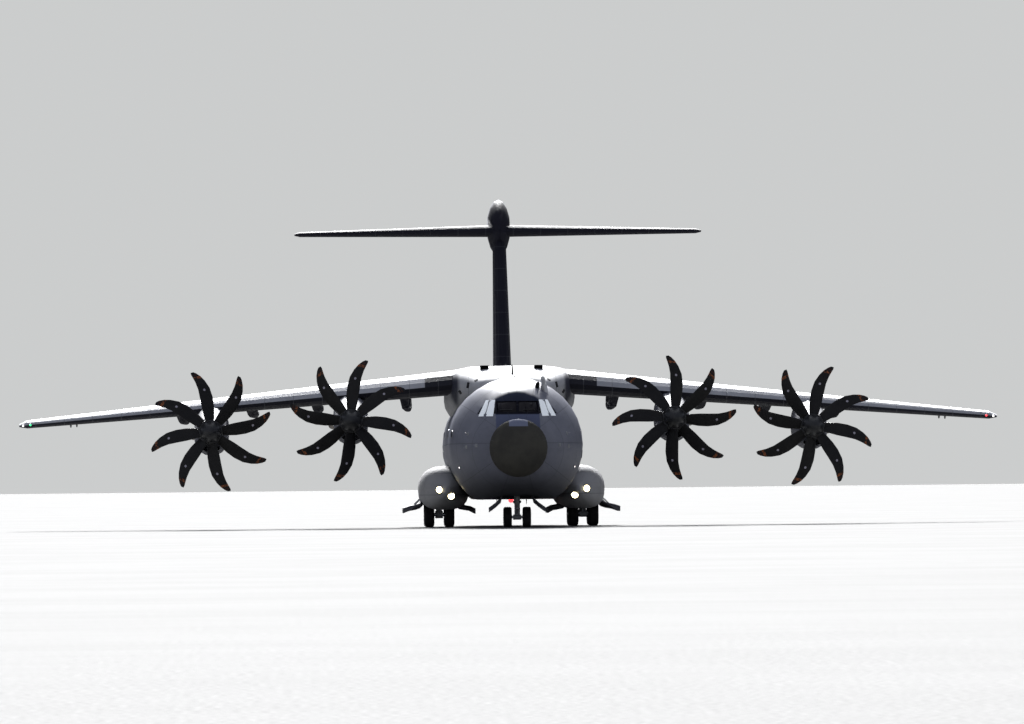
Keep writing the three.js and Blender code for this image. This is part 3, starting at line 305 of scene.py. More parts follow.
def make_seam_group():
    group, given, result = new_group(
        "seam_lines", (("Distance", 0), ("Spacing", 0.6), ("Width", 0.008)), (("Mask", "NodeSocketFloat"),)
    )
    steps = math_node(group, "DIVIDE", given.outputs["Distance"], given.outputs["Spacing"])
    part = math_node(group, "FRACT", steps)
    off = math_node(group, "ABSOLUTE", minus(group, part, 0.5))
    away = times(group, off, given.outputs["Spacing"])
    share = math_node(group, "DIVIDE", away, given.outputs["Width"])
    group.links.new(spread(group, share, 0.5, 1.0, 1.0, 0.0), result.inputs["Mask"])
    return group


def make_rivet_group():
    group, given, result = new_group(
        "rivet_dots",
        (("Across", 0), ("Along", 0), ("Spacing", 0.6), ("Offset", 0.02), ("Pitch", 0.05), ("Radius", 0.006)),
        (("Mask", "NodeSocketFloat"),),
    )
    shifted = minus(group, given.outputs["Across"], given.outputs["Offset"])
    part = math_node(group, "FRACT", math_node(group, "DIVIDE", shifted, given.outputs["Spacing"]))
    side = times(group, minus(group, part, 0.5), given.outputs["Spacing"])
    step = math_node(group, "FRACT", math_node(group, "DIVIDE", given.outputs["Along"], given.outputs["Pitch"]))
    down = times(group, minus(group, step, 0.5), given.outputs["Pitch"])
    square = math_node(group, "ADD", times(group, side, side), times(group, down, down))
    share = math_node(group, "DIVIDE", math_node(group, "SQRT", square), given.outputs["Radius"])
    group.links.new(spread(group, share, 0.6, 1.1, 1.0, 0.0), result.inputs["Mask"])
    return group


def make_weather_group():
    group, given, result = new_group(
        "weather",
        (("Patch Scale", 0.5), ("Streak Scale", 1.0)),
        (("Patches", "NodeSocketFloat"), ("Streaks", "NodeSocketFloat"), ("Specks", "NodeSocketFloat")),
    )
    where = group.nodes.new("ShaderNodeTexCoord")
    patches = add_node(group, "ShaderNodeTexNoise", Detail=4.0, Roughness=0.55)
    group.links.new(where.outputs["Object"], patches.inputs["Vector"])
    group.links.new(given.outputs["Patch Scale"], patches.inputs["Scale"])
    drawn = add_node(group, "ShaderNodeMapping", Scale=(6.0, 0.5, 6.0))
    group.links.new(where.outputs["Object"], drawn.inputs["Vector"])
    streaks = add_node(group, "ShaderNodeTexNoise", Detail=3.0, Roughness=0.6)
    group.links.new(drawn.outputs[0], streaks.inputs["Vector"])
    group.links.new(given.outputs["Streak Scale"], streaks.inputs["Scale"])
    specks = add_node(group, "ShaderNodeTexNoise", Scale=26.0, Detail=2.0)
    group.links.new(where.outputs["Object"], specks.inputs["Vector"])
    group.links.new(spread(group, patches.outputs[0], 0.34, 0.66), result.inputs["Patches"])
    group.links.new(spread(group, streaks.outputs[0], 0.45, 0.75), result.inputs["Streaks"])
    group.links.new(spread(group, specks.outputs[0], 0.3, 0.7), result.inputs["Specks"])
    return group


seam_group, rivet_group, weather_group = make_seam_group(), make_rivet_group(), make_weather_group()
print("groups", [g.name for g in bpy.data.node_groups])


# %% Use of the groups
def use_group(tree, group, **sources):
    """Places a group; each source is a socket or a number for the input of that name."""
    made = tree.nodes.new("ShaderNodeGroup")
    made.node_tree = group
    for key, value in sources.items():
        socket = made.inputs[key.replace("_", " ")]
        if isinstance(value, (int, float)):
            socket.default_value = value
        else:
            tree.links.new(value, socket)
    return made


# %% [markdown]
# ### Aircraft paint
# The skin is aluminium and carbon sheet under a matt grey paint. From near by one sees panel joints, rows of
# rivets, faint streaks that follow the air, and a belly that is darker towards the bottom: partly dirt that the
# wheels throw, partly painted shade. All painted forms share this recipe, and differ in which way their joints run
# and how dark the paint is. `skin_paint` builds it: `joints` says which distances carry the joints, and `shade` may
# lay further colours over it.


# %% Painted skin
BODY_MIDDLE, BODY_RADIUS = 1.75, 1.4
SEAM_WIDTH = 0.009
SKIN_ROUGHNESS = (0.62, 0.8)


def skin_paint(
    name, light, dark, joints, belly=None, shade=None, lines=0.55, gloss=0.12, coat=0.0, lacquer=None
):
    """joints(tree, x, y, z) gives pairs of (distance socket, spacing) and the one along which rivets are spaced."""
    made, tree, shader = new_material(
        name, Metallic=0.0, Specular_IOR_Level=gloss, Coat_Weight=coat, Coat_Roughness=0.4
    )
    x, y, z, _ = place_sockets(tree)
    weather = use_group(tree, weather_group, Patch_Scale=0.55, Streak_Scale=1.3)
    colour = colour_mix(tree, weather.outputs["Patches"], dark, light)
    streaks = times(tree, weather.outputs["Streaks"], 0.22)
    colour = colour_mix(tree, streaks, colour, darker(dark, 0.62))
    # Towards the bottom the paint darkens: partly dirt, partly painted shade.
    if belly:
        low = spread(tree, z, belly[1], belly[0])
        colour = colour_mix(tree, times(tree, low, 0.72), colour, belly[2])
    pairs, along = joints(tree, x, y, z)
    seams, dots = None, None
    for distance, spacing in pairs:
        seam = use_group(tree, seam_group, Distance=distance, Spacing=spacing, Width=SEAM_WIDTH).outputs[0]
        seams = seam if seams is None else math_node(tree, "MAXIMUM", seams, seam)
        dot = use_group(tree, rivet_group, Across=distance, Along=along, Spacing=spacing).outputs[0]
        dots = dot if dots is None else math_node(tree, "MAXIMUM", dots, dot)
    if shade:
        colour = shade(tree, colour, x, y, z)
    if lacquer:
        join(tree, lacquer(tree, x, y, z), shader.inputs["Coat Weight"])
    colour = colour_mix(tree, times(tree, seams, lines), colour, darker(dark, 0.35))
    colour = colour_mix(tree, times(tree, dots, 0.3), colour, darker(dark, 0.5))
    height = minus(tree, times(tree, dots, 0.4), seams)
    finish_shader(tree, shader, colour, weather, SKIN_ROUGHNESS, height, 0.5, 0.004)
    print("paint", name)
    return made


def body_joints(tree, x, y, z):
    """Rings at even steps, and lines along the body at even steps of the distance round it."""
    angle = math_node(tree, "ARCTAN2", x, minus(tree, z, BODY_MIDDLE))
    round_it = times(tree, angle, BODY_RADIUS)
    return ((y, 1.06), (round_it, 0.88)), round_it


BODY_LIGHT, BODY_DARK = (0.205, 0.212, 0.250), (0.165, 0.172, 0.208)
# Darker towards the belly: partly dirt from the wheels, partly painted shade.
BELLY_DIRT_AND_SHADE = (0.75, 1.35, (0.075, 0.074, 0.076))
COAT_WEIGHT = 0.35
body_paint = skin_paint(
    "body_grey", BODY_LIGHT, BODY_DARK, body_joints, belly=BELLY_DIRT_AND_SHADE, gloss=0.0, coat=COAT_WEIGHT
)

# %% [markdown]
# The nose wears a dark blue-black panel round the two front panes, which keeps the crew from being dazzled. It
# could be a separate sheet, but paint has no thickness worth modelling, so it is a mask in the paint: the product
# of soft edges left and right, top and bottom. Round the panes the sealing strip is darker still.


# %% Nose paint
def band(tree, value, low, high, soft=0.015):
    """1 between low and high, 0 outside, with soft edges."""
    rise = spread(tree, value, low - soft, low + soft)
    fall = spread(tree, value, high - soft, high + soft, 1.0, 0.0)
    return times(tree, rise, fall)


GLARE_TONE, GLARE_SILL, GLARE_LOW = (0.030, 0.036, 0.056), (0.014, 0.014, 0.020), (0.105, 0.120, 0.190)
GLARE_HALF_WIDTH = 0.455
SILL_FOOT, SILL_TOP = 2.355, 2.625


def glare_mask(tree, x, y, z):
    across = band(tree, x, -GLARE_HALF_WIDTH, GLARE_HALF_WIDTH)
    length = spread(tree, y, real(0, 3.25, 0).y, real(0, 3.55, 0).y, 1.0, 0.0)
    height = band(tree, z, 2.0, 3.2)
    return times(tree, times(tree, across, length), height)


def glare_shield(tree, colour, x, y, z):
    """Blue-black above the windscreen, black round the panes, and a lighter blue down to the radome."""
    tone = colour_mix(tree, spread(tree, z, SILL_FOOT - 0.02, SILL_FOOT), GLARE_LOW, GLARE_TONE)
    tone = colour_mix(tree, band(tree, z, SILL_FOOT, SILL_TOP), tone, GLARE_SILL)
    return colour_mix(tree, glare_mask(tree, x, y, z), colour, tone)


def thin_lacquer(tree, x, y, z):
    """Clear coat on the grey, none on the panel, which must stay matt."""
    bare = minus(tree, 1.0, glare_mask(tree, x, y, z))
    return times(tree, bare, COAT_WEIGHT)


nose_paint = skin_paint(
    "nose_grey", BODY_LIGHT, BODY_DARK, body_joints, BELLY_DIRT_AND_SHADE, glare_shield, gloss=0.0, lacquer=thin_lacquer
)

# %% [markdown]
# Wings, tailplane and fin are swept, so their joints run in two directions: ribs straight across, and spars that
# follow the leading edge. `sweep` tells how far the leading edge moves aft for each metre of span, and `start`
# where it would meet the middle of the aircraft. Seen from ahead they are nearly black below. That is painted
# shade: the backlit aircraft has its front edges and undersides in shade, so they get a near-black paint. `coat`
# makes the mask of this painted shade: on the wings and the tailplane from the way that the surface faces, and on
# the fin from the share of its chord.

# %% Paint for wings and tail
# Near-black painted shade for front edges and undersides, and how fully it covers them.
PAINTED_SHADE_TONE, PAINTED_SHADE_COVER = (0.012, 0.012, 0.020), 0.97
WING_START, WING_SWEEP = -3.945, 0.3344
TAIL_START, TAIL_SWEEP = 7.975, 0.4595
FIN_START, FIN_SWEEP = 2.084, 0.929
FIN_CHORD, FIN_TAPER = 7.005, 0.7305


def swept_paint(name, light, dark, start, sweep, coat, upright=False, rib=0.62, **more):
    def joints(tree, x, y, z):
        span = z if upright else math_node(tree, "ABSOLUTE", x)
        aft = minus(tree, y, times(tree, span, sweep))
        return ((span, rib), (minus(tree, aft, start), 0.78)), y

    def shade(tree, colour, x, y, z):
        return colour_mix(tree, coat(tree), colour, PAINTED_SHADE_TONE)

    return skin_paint(name, light, dark, joints, shade=shade, **more)


def painted_shade_below(tree):
    """Painted shade for the wings: the underside and the lower part of the front edge, more of it towards the root.
    """
    up = facing(tree)[2]
    out = math_node(tree, "ABSOLUTE", place_sockets(tree)[0])
    share = spread(tree, out, 1.3, 9.0, 0.50, 0.10, smooth=False)
    low = spread(tree, minus(tree, up, share), -0.08, 0.08, 1.0, 0.0)
    inner = spread(tree, out, 1.83, 1.85, 1.0, 0.0)
    root = times(tree, inner, spread(tree, up, 0.92, 0.98, 1.0, 0.0))
    return times(tree, math_node(tree, "MAXIMUM", low, root), PAINTED_SHADE_COVER)


def painted_shade_front(tree):
    """Painted shade for the tail: all that faces forward, fading out towards the thickest part, and the undersides.
    """
    _, aft, up = facing(tree)
    front = spread(tree, aft, -0.04, 0.02, 1.0, 0.0)
    below = spread(tree, up, -0.6, -0.2, 0.8, 0.0)
    return times(tree, math_node(tree, "MAXIMUM", front, below), PAINTED_SHADE_COVER)


def painted_shade_fin(tree):
    """Painted shade for the fin: the front third of its chord, which shrinks with height, fading out aft of it."""
    _, y, z, _ = place_sockets(tree)
    behind = minus(tree, minus(tree, y, times(tree, z, FIN_SWEEP)), FIN_START)
    chord = minus(tree, FIN_CHORD, times(tree, z, FIN_TAPER))
    share = math_node(tree, "DIVIDE", behind, chord)
    return times(tree, spread(tree, share, 0.30, 0.52, 1.0, 0.0), PAINTED_SHADE_COVER)


# The wings' grey is paler than the body's: a painted highlight for the strong light on their tops.
WING_LIGHT, WING_DARK = (0.46, 0.47, 0.50), (0.38, 0.39, 0.42)
wing_paint = swept_paint("wing_grey", WING_LIGHT, WING_DARK, WING_START, WING_SWEEP, painted_shade_below)
TAIL_LIGHT, TAIL_DARK = (0.25, 0.255, 0.285), (0.20, 0.205, 0.235)
tail_paint = swept_paint("tailplane_grey", TAIL_LIGHT, TAIL_DARK, TAIL_START, TAIL_SWEEP, painted_shade_front, gloss=0.02)
fin_paint = swept_paint(
    "fin_grey", TAIL_LIGHT, TAIL_DARK, FIN_START, FIN_SWEEP, painted_shade_fin, upright=True, rib=0.5, gloss=0.02
)

# %% [markdown]
# The fairing over the wing root, the pods beside the body, the engine cowls and the doors are smaller, so their
# joints are closer. The cowls also carry soot behind the exhaust. The fairing and the pods are paler than the body;
# on the fairing's top that paleness is a painted highlight, and its dark flanks are painted shade.


# %% Paint for fairings, pods and cowls
def simple_joints(length, across):
    def joints(tree, x, y, z):
        side = math_node(tree, "ABSOLUTE", x)
        return ((y, length), (side, across)), side

    return joints


def pod_joints(tree, x, y, z):
    return ((y, 0.7), (z, 0.46)), y


def painted_shade_flanks(tree, colour, x, y, z):
    """Painted shade ahead of the wing roots: the fairing's steep outer sides are painted near-black, like the shade
    under the wing's front edge.
    """
    up = facing(tree)[2]
    outer = spread(tree, math_node(tree, "ABSOLUTE", x), 1.08, 1.18)
    steep = spread(tree, up, 0.84, 0.95, 1.0, 0.0)
    front = spread(tree, y, -3.45, -2.9, 1.0, 0.0)
    mask = times(tree, times(tree, outer, steep), front)
    return colour_mix(tree, mask, colour, (0.030, 0.033, 0.052))


# Pale grey as a painted highlight on the fairing's top, with painted shade on its flanks.
fairing_paint = skin_paint(
    "fairing_pale", (0.50, 0.505, 0.52), (0.43, 0.435, 0.45), simple_joints(0.85, 0.62), shade=painted_shade_flanks
)


def probe_foot_shade(tree, colour, x, y, z):
    """The probe is white, and its foot is painted near-black: painted shade."""
    return colour_mix(tree, spread(tree, y, -8.78, -8.74), colour, (0.030, 0.032, 0.045))


probe_paint = skin_paint(
    "probe_white", (0.72, 0.73, 0.74), (0.62, 0.63, 0.64), simple_joints(0.4, 0.4), shade=probe_foot_shade, lines=0.0
)
pod_paint = skin_paint("pod_grey", (0.42, 0.42, 0.43), (0.35, 0.35, 0.36), pod_joints)
door_paint = skin_paint("door_grey", (0.150, 0.151, 0.165), (0.115, 0.116, 0.128), pod_joints)


def soot(tree, colour, x, y, z):
    """Darkens the cowl from the exhaust aft."""
    aft = spread(tree, y, -3.3, -1.6)
    return colour_mix(tree, times(tree, aft, 0.45), colour, (0.03, 0.03, 0.032))


cowl_paint = skin_paint("cowl_grey", (0.17, 0.172, 0.195), (0.13, 0.132, 0.152), pod_joints, shade=soot)

# %% [markdown]
# The radome hides the weather radar. Paint on it would spoil the signal, so it has a thin rubbery coat in a dark
# olive tone, with small chips where rain and grit hit the tip and lightning strips that run aft.


# %% Radome coat
RADOME_MIDDLE, NOTCH_HALF_WIDTH = 1.58, 0.195


def make_radome_coat():
    made, tree, shader = new_material("radome_coat", Metallic=0.0, Specular_IOR_Level=0.02)
    x, y, z, where = place_sockets(tree)
    weather = use_group(tree, weather_group, Patch_Scale=2.2, Streak_Scale=2.0)
    colour = colour_mix(tree, weather.outputs["Patches"], (0.058, 0.056, 0.050), (0.078, 0.075, 0.064))
    chips = add_node(tree, "ShaderNodeTexVoronoi", Scale=34.0)
    join(tree, where, chips.inputs["Vector"])
    chip = spread(tree, chips.outputs["Distance"], 0.03, 0.09, 1.0, 0.0)
    tip = spread(tree, y, -11.25, -10.95, 1.0, 0.0)
    colour = colour_mix(tree, times(tree, chip, tip), colour, (0.16, 0.16, 0.15))
    high = minus(tree, z, RADOME_MIDDLE)
    turn = times(tree, math_node(tree, "ARCTAN2", x, high), 0.5)
    strips = use_group(tree, seam_group, Distance=turn, Spacing=0.3927, Width=0.006)
    aft = spread(tree, y, -11.05, -10.95)
    strip = times(tree, strips.outputs[0], aft)
    colour = colour_mix(tree, times(tree, strip, 0.6), colour, (0.10, 0.10, 0.095))
    across = band(tree, x, -NOTCH_HALF_WIDTH, NOTCH_HALF_WIDTH, 0.008)
    colour = colour_mix(tree, times(tree, across, spread(tree, z, 2.085, 2.105)), colour, (0.180, 0.200, 0.280))
    height = math_node(tree, "ADD", strip, times(tree, chip, -0.4))
    finish_shader(tree, shader, colour, weather, (0.6, 0.8), height, 0.3, 0.003)
    return made


radome_coat = make_radome_coat()
print("radome coat ready")

# %% [markdown]
# ### Bare metal, rubber, glass and light
# The undercarriage is painted white and spattered with grease; its sliding parts are chromed. Tyres are dull
# black with faint dark streaks. The windscreen is thick dark glass. The panes beside it are pale and glow a
# little: a painted reflection of the daylight that they mirror. Lamps glow by themselves, so their shaders have an
# emission value as well as a clear lens.


# %% Metal and rubber
def worn_metal(name, light, dark, metallic, roughness, scale=3.0, grime=0.4, gloss=0.5):
    made, tree, shader = new_material(name, Metallic=metallic, Specular_IOR_Level=gloss)
    weather = use_group(tree, weather_group, Patch_Scale=scale, Streak_Scale=scale * 1.5)
    colour = colour_mix(tree, weather.outputs["Patches"], dark, light)
    dirt = times(tree, weather.outputs["Streaks"], grime)
    colour = colour_mix(tree, dirt, colour, darker(dark, 0.35))
    finish_shader(tree, shader, colour, weather, roughness, weather.outputs["Specks"], 0.25, 0.002)
    print("finish", name)
    return made


gear_white = worn_metal("gear_white", (0.62, 0.63, 0.63), (0.48, 0.49, 0.49), 0.0, (0.35, 0.55))
chrome = worn_metal("sliding_chrome", (0.72, 0.73, 0.75), (0.60, 0.61, 0.63), 1.0, (0.10, 0.22), grime=0.15)
steel = worn_metal("hot_steel", (0.26, 0.23, 0.20), (0.16, 0.14, 0.125), 1.0, (0.35, 0.6), grime=0.5)
hub_metal = worn_metal("wheel_hub", (0.36, 0.37, 0.38), (0.26, 0.27, 0.28), 0.6, (0.35, 0.55), scale=8.0)
black_fitting = worn_metal("black_fitting", (0.020, 0.020, 0.022), (0.012, 0.012, 0.014), 0.0, (0.45, 0.65))
matt_black = worn_metal(
    "matt_black", (0.011, 0.011, 0.012), (0.007, 0.007, 0.008), 0.0, (0.8, 0.95), grime=0.2, gloss=0.0
)
bay_primer = worn_metal("bay_primer", (0.34, 0.36, 0.31), (0.24, 0.26, 0.22), 0.0, (0.5, 0.7), grime=0.55)
rubber = worn_metal(
    "tyre_rubber", (0.040, 0.038, 0.038), (0.026, 0.025, 0.025), 0.0, (0.8, 0.95), scale=9.0, gloss=0.2
)
spinner_black = worn_metal("spinner_black", (0.020, 0.021, 0.024), (0.012, 0.013, 0.015), 0.0, (0.3, 0.5), grime=0.2)


# %% Floor plates and cabin
def make_floor_plate():
    made, tree, shader = new_material("anti_slip_plate", Metallic=0.7)
    x, y, _, where = place_sockets(tree)
    rows = use_group(tree, seam_group, Distance=x, Spacing=0.26, Width=0.012).outputs[0]
    steps = use_group(tree, seam_group, Distance=y, Spacing=0.5, Width=0.012).outputs[0]
    lines = math_node(tree, "MAXIMUM", rows, steps)
    grain = add_node(tree, "ShaderNodeTexVoronoi", Scale=90.0)
    join(tree, where, grain.inputs["Vector"])
    weather = use_group(tree, weather_group, Patch_Scale=1.5, Streak_Scale=3.0)
    colour = colour_mix(tree, weather.outputs["Patches"], (0.13, 0.135, 0.13), (0.20, 0.205, 0.20))
    colour = colour_mix(tree, lines, colour, (0.04, 0.04, 0.04))
    height = minus(tree, grain.outputs["Distance"], lines)
    finish_shader(tree, shader, colour, weather, (0.4, 0.6), height, 0.4, 0.003)
    return made


floor_plate = make_floor_plate()
cabin_grey = worn_metal("cabin_grey", (0.10, 0.105, 0.11), (0.07, 0.075, 0.08), 0.0, (0.5, 0.7), scale=4.0, grime=0.2)
print("cabin ready")


# %% Glass and lamps
def make_glass(name, tint, haze_tint, transmission, gloss, reflection_glow=0.0):
    made, tree, shader = new_material(
        name,
        Metallic=0.0,
        IOR=1.45,
        Transmission_Weight=transmission,
        Specular_IOR_Level=gloss,
        Emission_Strength=reflection_glow,
    )
    weather = use_group(tree, weather_group, Patch_Scale=3.0, Streak_Scale=4.0)
    haze = times(tree, weather.outputs["Streaks"], 0.3)
    colour = colour_mix(tree, haze, tint, haze_tint)
    join(tree, colour, shader.inputs["Base Color"])
    join(tree, colour, shader.inputs["Emission Color"])
    join(tree, spread(tree, weather.outputs["Specks"], 0, 1, 0.12, 0.25, smooth=False), shader.inputs["Roughness"])
    return made


def make_lamp_glass(name, tint, strength):
    made, tree, shader = new_material(name, Metallic=0.0, Roughness=0.1, Emission_Strength=strength)
    facets = add_node(tree, "ShaderNodeTexVoronoi", Scale=60.0)
    join(tree, place_sockets(tree)[3], facets.inputs["Vector"])
    cell = spread(tree, facets.outputs["Distance"], 0.0, 0.6, 0.0, 0.45)
    join(tree, colour_mix(tree, cell, tint, darker(tint, 0.7)), shader.inputs["Emission Color"])
    join(tree, colour_mix(tree, cell, tint, (0.3, 0.3, 0.3)), shader.inputs["Base Color"])
    return made


screen_glass = make_glass("windscreen_glass", (0.010, 0.009, 0.013), (0.020, 0.018, 0.024), 0.05, 0.05)
# Pale colour and a faint glow: a painted reflection of the daylight on the side panes.
side_glass = make_glass("side_pane_glass", (0.80, 0.85, 0.90), (0.66, 0.70, 0.74), 0.0, 0.5, reflection_glow=0.28)
landing_light = make_lamp_glass("landing_light", (1.0, 0.86, 0.50), 14.0)
side_light = make_lamp_glass("side_light", (1.0, 0.92, 0.88), 5.0)
red_light = make_lamp_glass("red_light", (1.0, 0.05, 0.06), 3.0)
green_light = make_lamp_glass("green_light", (0.08, 1.0, 0.35), 2.0)
white_light = make_lamp_glass("white_light", (1.0, 0.98, 0.95), 3.0)
print("glass and lamps ready")

# %% [markdown]
# ### Stage finish
# The floor is pale concrete. A little noise keeps it from looking like plastic.

# %% Floor finish
floor_finish = worn_metal(
    "pale_floor", (0.190, 0.190, 0.186), (0.172, 0.172, 0.168), 0.0, (0.9, 1.0), scale=0.2, grime=0.04, gloss=0.05
)
floor.data.materials.append(floor_finish)

# %% [markdown]
# ## Dressing the solids
# The solids arrive as loose triangles with flat faces. To look smooth they need their corners joined, and the
# shading blended where two faces meet at a small angle only, so that real edges stay sharp. The frame's own
# meshes may not be changed, so each is copied, the copy is joined and smoothed, and it stands for the original.


# %% Helper that dresses one solid
def pick(*objects):
    """Selects only these objects; the last one is active."""
    bpy.ops.object.select_all(action="DESELECT")
    for one in objects:
        one.select_set(True)
    bpy.context.view_layer.objects.active = objects[-1]


def body_of_node(name):
    return nodes[name]["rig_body"]


def open_piece():
    """Goes into edit mode with the whole piece selected."""
    bpy.ops.object.mode_set(mode="EDIT")
    bpy.ops.mesh.select_all(action="SELECT")


def close_piece():
    bpy.ops.object.mode_set(mode="OBJECT")


AIRFRAME = body_of_node("nose_fuselage")
SHARP_FROM = math.radians(32)


def dress(name, finish):
    """A smooth copy of a solid with its finish, which rides where the solid does and stands for it."""
    copy = bpy.data.objects.new("skin_" + name, nodes[name].data.copy())
    bpy.context.scene.collection.objects.link(copy)
    pick(copy)
    open_piece()
    bpy.ops.mesh.remove_doubles(threshold=0.00002)
    close_piece()
    bpy.ops.object.shade_smooth_by_angle(angle=SHARP_FROM)
    even = copy.modifiers.new("Even shading", "WEIGHTED_NORMAL")
    even.mode, even.keep_sharp = "FACE_AREA_WITH_ANGLE", True
    bpy.ops.object.modifier_apply(modifier="Even shading")
    copy.data.materials.clear()
    copy.data.materials.append(finish)
    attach(copy, body_of_node(name))
    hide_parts(name)


# %% Skins of the body, wings and tail
ALLOY, COMPOSITE = "painted_alloy", "painted_composite"
SKINS = {
    "nose_fuselage": (nose_paint, ALLOY),
    "centre_fuselage": (body_paint, ALLOY),
    "rear_fuselage": (body_paint, COMPOSITE),
    "crew_door": (body_paint, ALLOY),
    "paratroop_door_left": (body_paint, ALLOY),
    "paratroop_door_right": (body_paint, ALLOY),
    "cargo_ramp": (body_paint, COMPOSITE),
    "cargo_door": (body_paint, COMPOSITE),
    "wing_fairing": (fairing_paint, COMPOSITE),
    "radome": (radome_coat, "radome"),
    "cockpit_glazing": (screen_glass, "glass"),
    "flight_deck": (cabin_grey, "cockpit_fittings"),
    "cargo_floor": (floor_plate, "floor_alloy"),
    "fin": (fin_paint, COMPOSITE),
    "rudder": (fin_paint, COMPOSITE),
    "tailplane": (tail_paint, COMPOSITE),
    "refuelling_probe": (probe_paint, COMPOSITE),
    "nose_gear_leg": (gear_white, "gear_metal"),
    "nose_gear_fork": (gear_white, "gear_metal"),
}
for side_name in ("left", "right"):
    for part in ("wing", "flap_inner", "flap_outer", "aileron"):
        SKINS[f"{part}_{side_name}"] = (wing_paint, COMPOSITE)
    SKINS[f"elevator_{side_name}"] = (tail_paint, COMPOSITE)
    SKINS[f"sponson_{side_name}"] = (pod_paint, COMPOSITE)
    for part in ("gear_door_outer", "gear_door_inner", "nose_door"):
        SKINS[f"{part}_{side_name}"] = (door_paint, COMPOSITE)
    for part in ("nacelle_inner", "nacelle_outer"):
        SKINS[f"{part}_{side_name}"] = (cowl_paint, ALLOY)
    SKINS[f"main_gear_legs_{side_name}"] = (gear_white, "gear_metal")

for name, (finish, slot) in SKINS.items():
    dress(name, finish)
print("dressed", len(SKINS), "solids")

# %% [markdown]
# Shaping pieces in edit mode needs a way to say which faces or corners an operator works on. By hand one clicks on
# them. Here we give a test, such as all faces that point up, or all corners at a height.


# %% Choosing faces and corners
def choose(kind, test):
    """In edit mode, selects the mesh parts of a kind that pass the test."""
    mesh = bmesh.from_edit_mesh(bpy.context.object.data)
    bpy.ops.mesh.select_mode(type=kind)
    for part in mesh.faces if kind == "FACE" else mesh.verts:
        part.select_set(bool(test(part)))
    mesh.select_flush_mode()
    bmesh.update_edit_mesh(bpy.context.object.data)


print("choosing ready")


# %% [markdown]
# ## Turned pieces
# Spinners, tyres, lamps and nozzles are all round. By hand one would draw half an outline and spin it. Here a flat
# circle is extruded once for each step of the outline, and every new ring is sized to its radius, which gives the
# same form with even rings. A step is a pair: how far along the axis, and how far out from it.


# %% Helpers for modelling
def face_outwards():
    """Turns all faces outwards and leaves edit mode."""
    bpy.ops.mesh.select_all(action="SELECT")
    bpy.ops.mesh.normals_make_consistent(inside=False)
    close_piece()


def turned(name, steps, finish, sides=32, ring=False):
    """A round piece about the Z axis. A radius of 0 closes a pole; ring joins the last step to the first."""
    bpy.ops.object.select_all(action="DESELECT")
    along, radius = steps[0]
    first = max(radius, 1e-4)
    bpy.ops.mesh.primitive_circle_add(vertices=sides, radius=first, fill_type="NOTHING", location=(0, 0, along))
    piece = bpy.context.object
    piece.name = name
    bpy.ops.object.transform_apply(location=True, rotation=True, scale=True)
    open_piece()
    for (before, old), (after, new) in zip(steps, steps[1:]):
        bpy.ops.mesh.extrude_region_move(TRANSFORM_OT_translate={"value": (0, 0, after - before)})
        factor = max(new, 1e-4) / max(old, 1e-4)
        bpy.ops.transform.resize(value=(factor, factor, 1), center_override=(0, 0, after))
    if ring:
        bpy.ops.mesh.select_all(action="SELECT")
        bpy.ops.mesh.select_mode(type="EDGE")
        bpy.ops.mesh.select_non_manifold(extend=False)
        bpy.ops.mesh.bridge_edge_loops()
    bpy.ops.mesh.select_all(action="SELECT")
    bpy.ops.mesh.remove_doubles(threshold=0.0004)
    bpy.ops.mesh.select_mode(type="EDGE")
    bpy.ops.mesh.select_non_manifold(extend=False)
    bpy.ops.mesh.edge_face_add()
    face_outwards()
    piece.data.materials.append(finish)
    return piece


def move_to(piece, place=(0, 0, 0), turns=(0, 0, 0)):
    """Turns and moves a piece, then applies it, so that its place lies in its mesh."""
    pick(piece)
    piece.rotation_euler = turns
    piece.location = place
    bpy.ops.object.transform_apply(location=True, rotation=True, scale=True)
    return piece


def again(piece, name):
    """A copy of a piece with its own mesh."""
    copy = piece.copy()
    copy.data = piece.data.copy()
    copy.name = name
    bpy.context.scene.collection.objects.link(copy)
    return copy


def merge(name, *pieces):
    """Joins pieces into one object, which keeps the finishes of them all."""
    pick(*pieces)
    bpy.ops.object.join()
    whole = bpy.context.object
    whole.name = name
    return whole


def finish_piece(piece, body=AIRFRAME, replaces=None, smooth=35):
    """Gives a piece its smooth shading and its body."""
    pick(piece)
    bpy.ops.object.shade_smooth_by_angle(angle=math.radians(smooth))
    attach(piece, body)
    if replaces:
        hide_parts(*replaces)
    return piece


print("modelling helpers ready")

# %% [markdown]
# ## Propellers
# Each engine turns eight curved composite blades. The blade is broad at mid length, its tip is swept back like a
# sabre, and it is twisted: steep near the hub and flat at the tip, because the tip moves much faster through the
# air. It starts as a flat oval that is extruded outwards and sized at each station. Then each station is turned
# about its own middle for the twist, and about the hub for the sweep. One blade is made, and copied round the hub.

# %% Blade sizes
BLADE_LENGTH = 2.665 / 2
ENGINES = {
    "outer_right": (real(-12.83, 14.9, 4.17), 11.1, 1),
    "inner_right": (real(-6.86, 12.9, 4.56), 35.7, -1),
    "inner_left": (real(6.86, 12.9, 4.56), -0.2, 1),
    "outer_left": (real(12.83, 14.9, 4.17), 31.6, -1),
}
BLADE_STATIONS = (
    (0.155, 6.2, 0.42, 34, 0.130),
    (0.25, 6.0, 0.50, 29, 0.100),
    (0.40, 5.2, 0.57, 22, 0.070),
    (0.55, 4.3, 0.57, 17.5, 0.054),
    (0.70, 2.6, 0.51, 14, 0.040),
    (0.82, -0.3, 0.42, 11.5, 0.031),
    (0.90, -2.7, 0.34, 10, 0.025),
    (0.96, -4.8, 0.24, 9.5, 0.020),
    (0.994, -6.0, 0.12, 9, 0.015),
)
print("stations: share of the length, degrees of sweep, width, pitch, thickness:", len(BLADE_STATIONS))


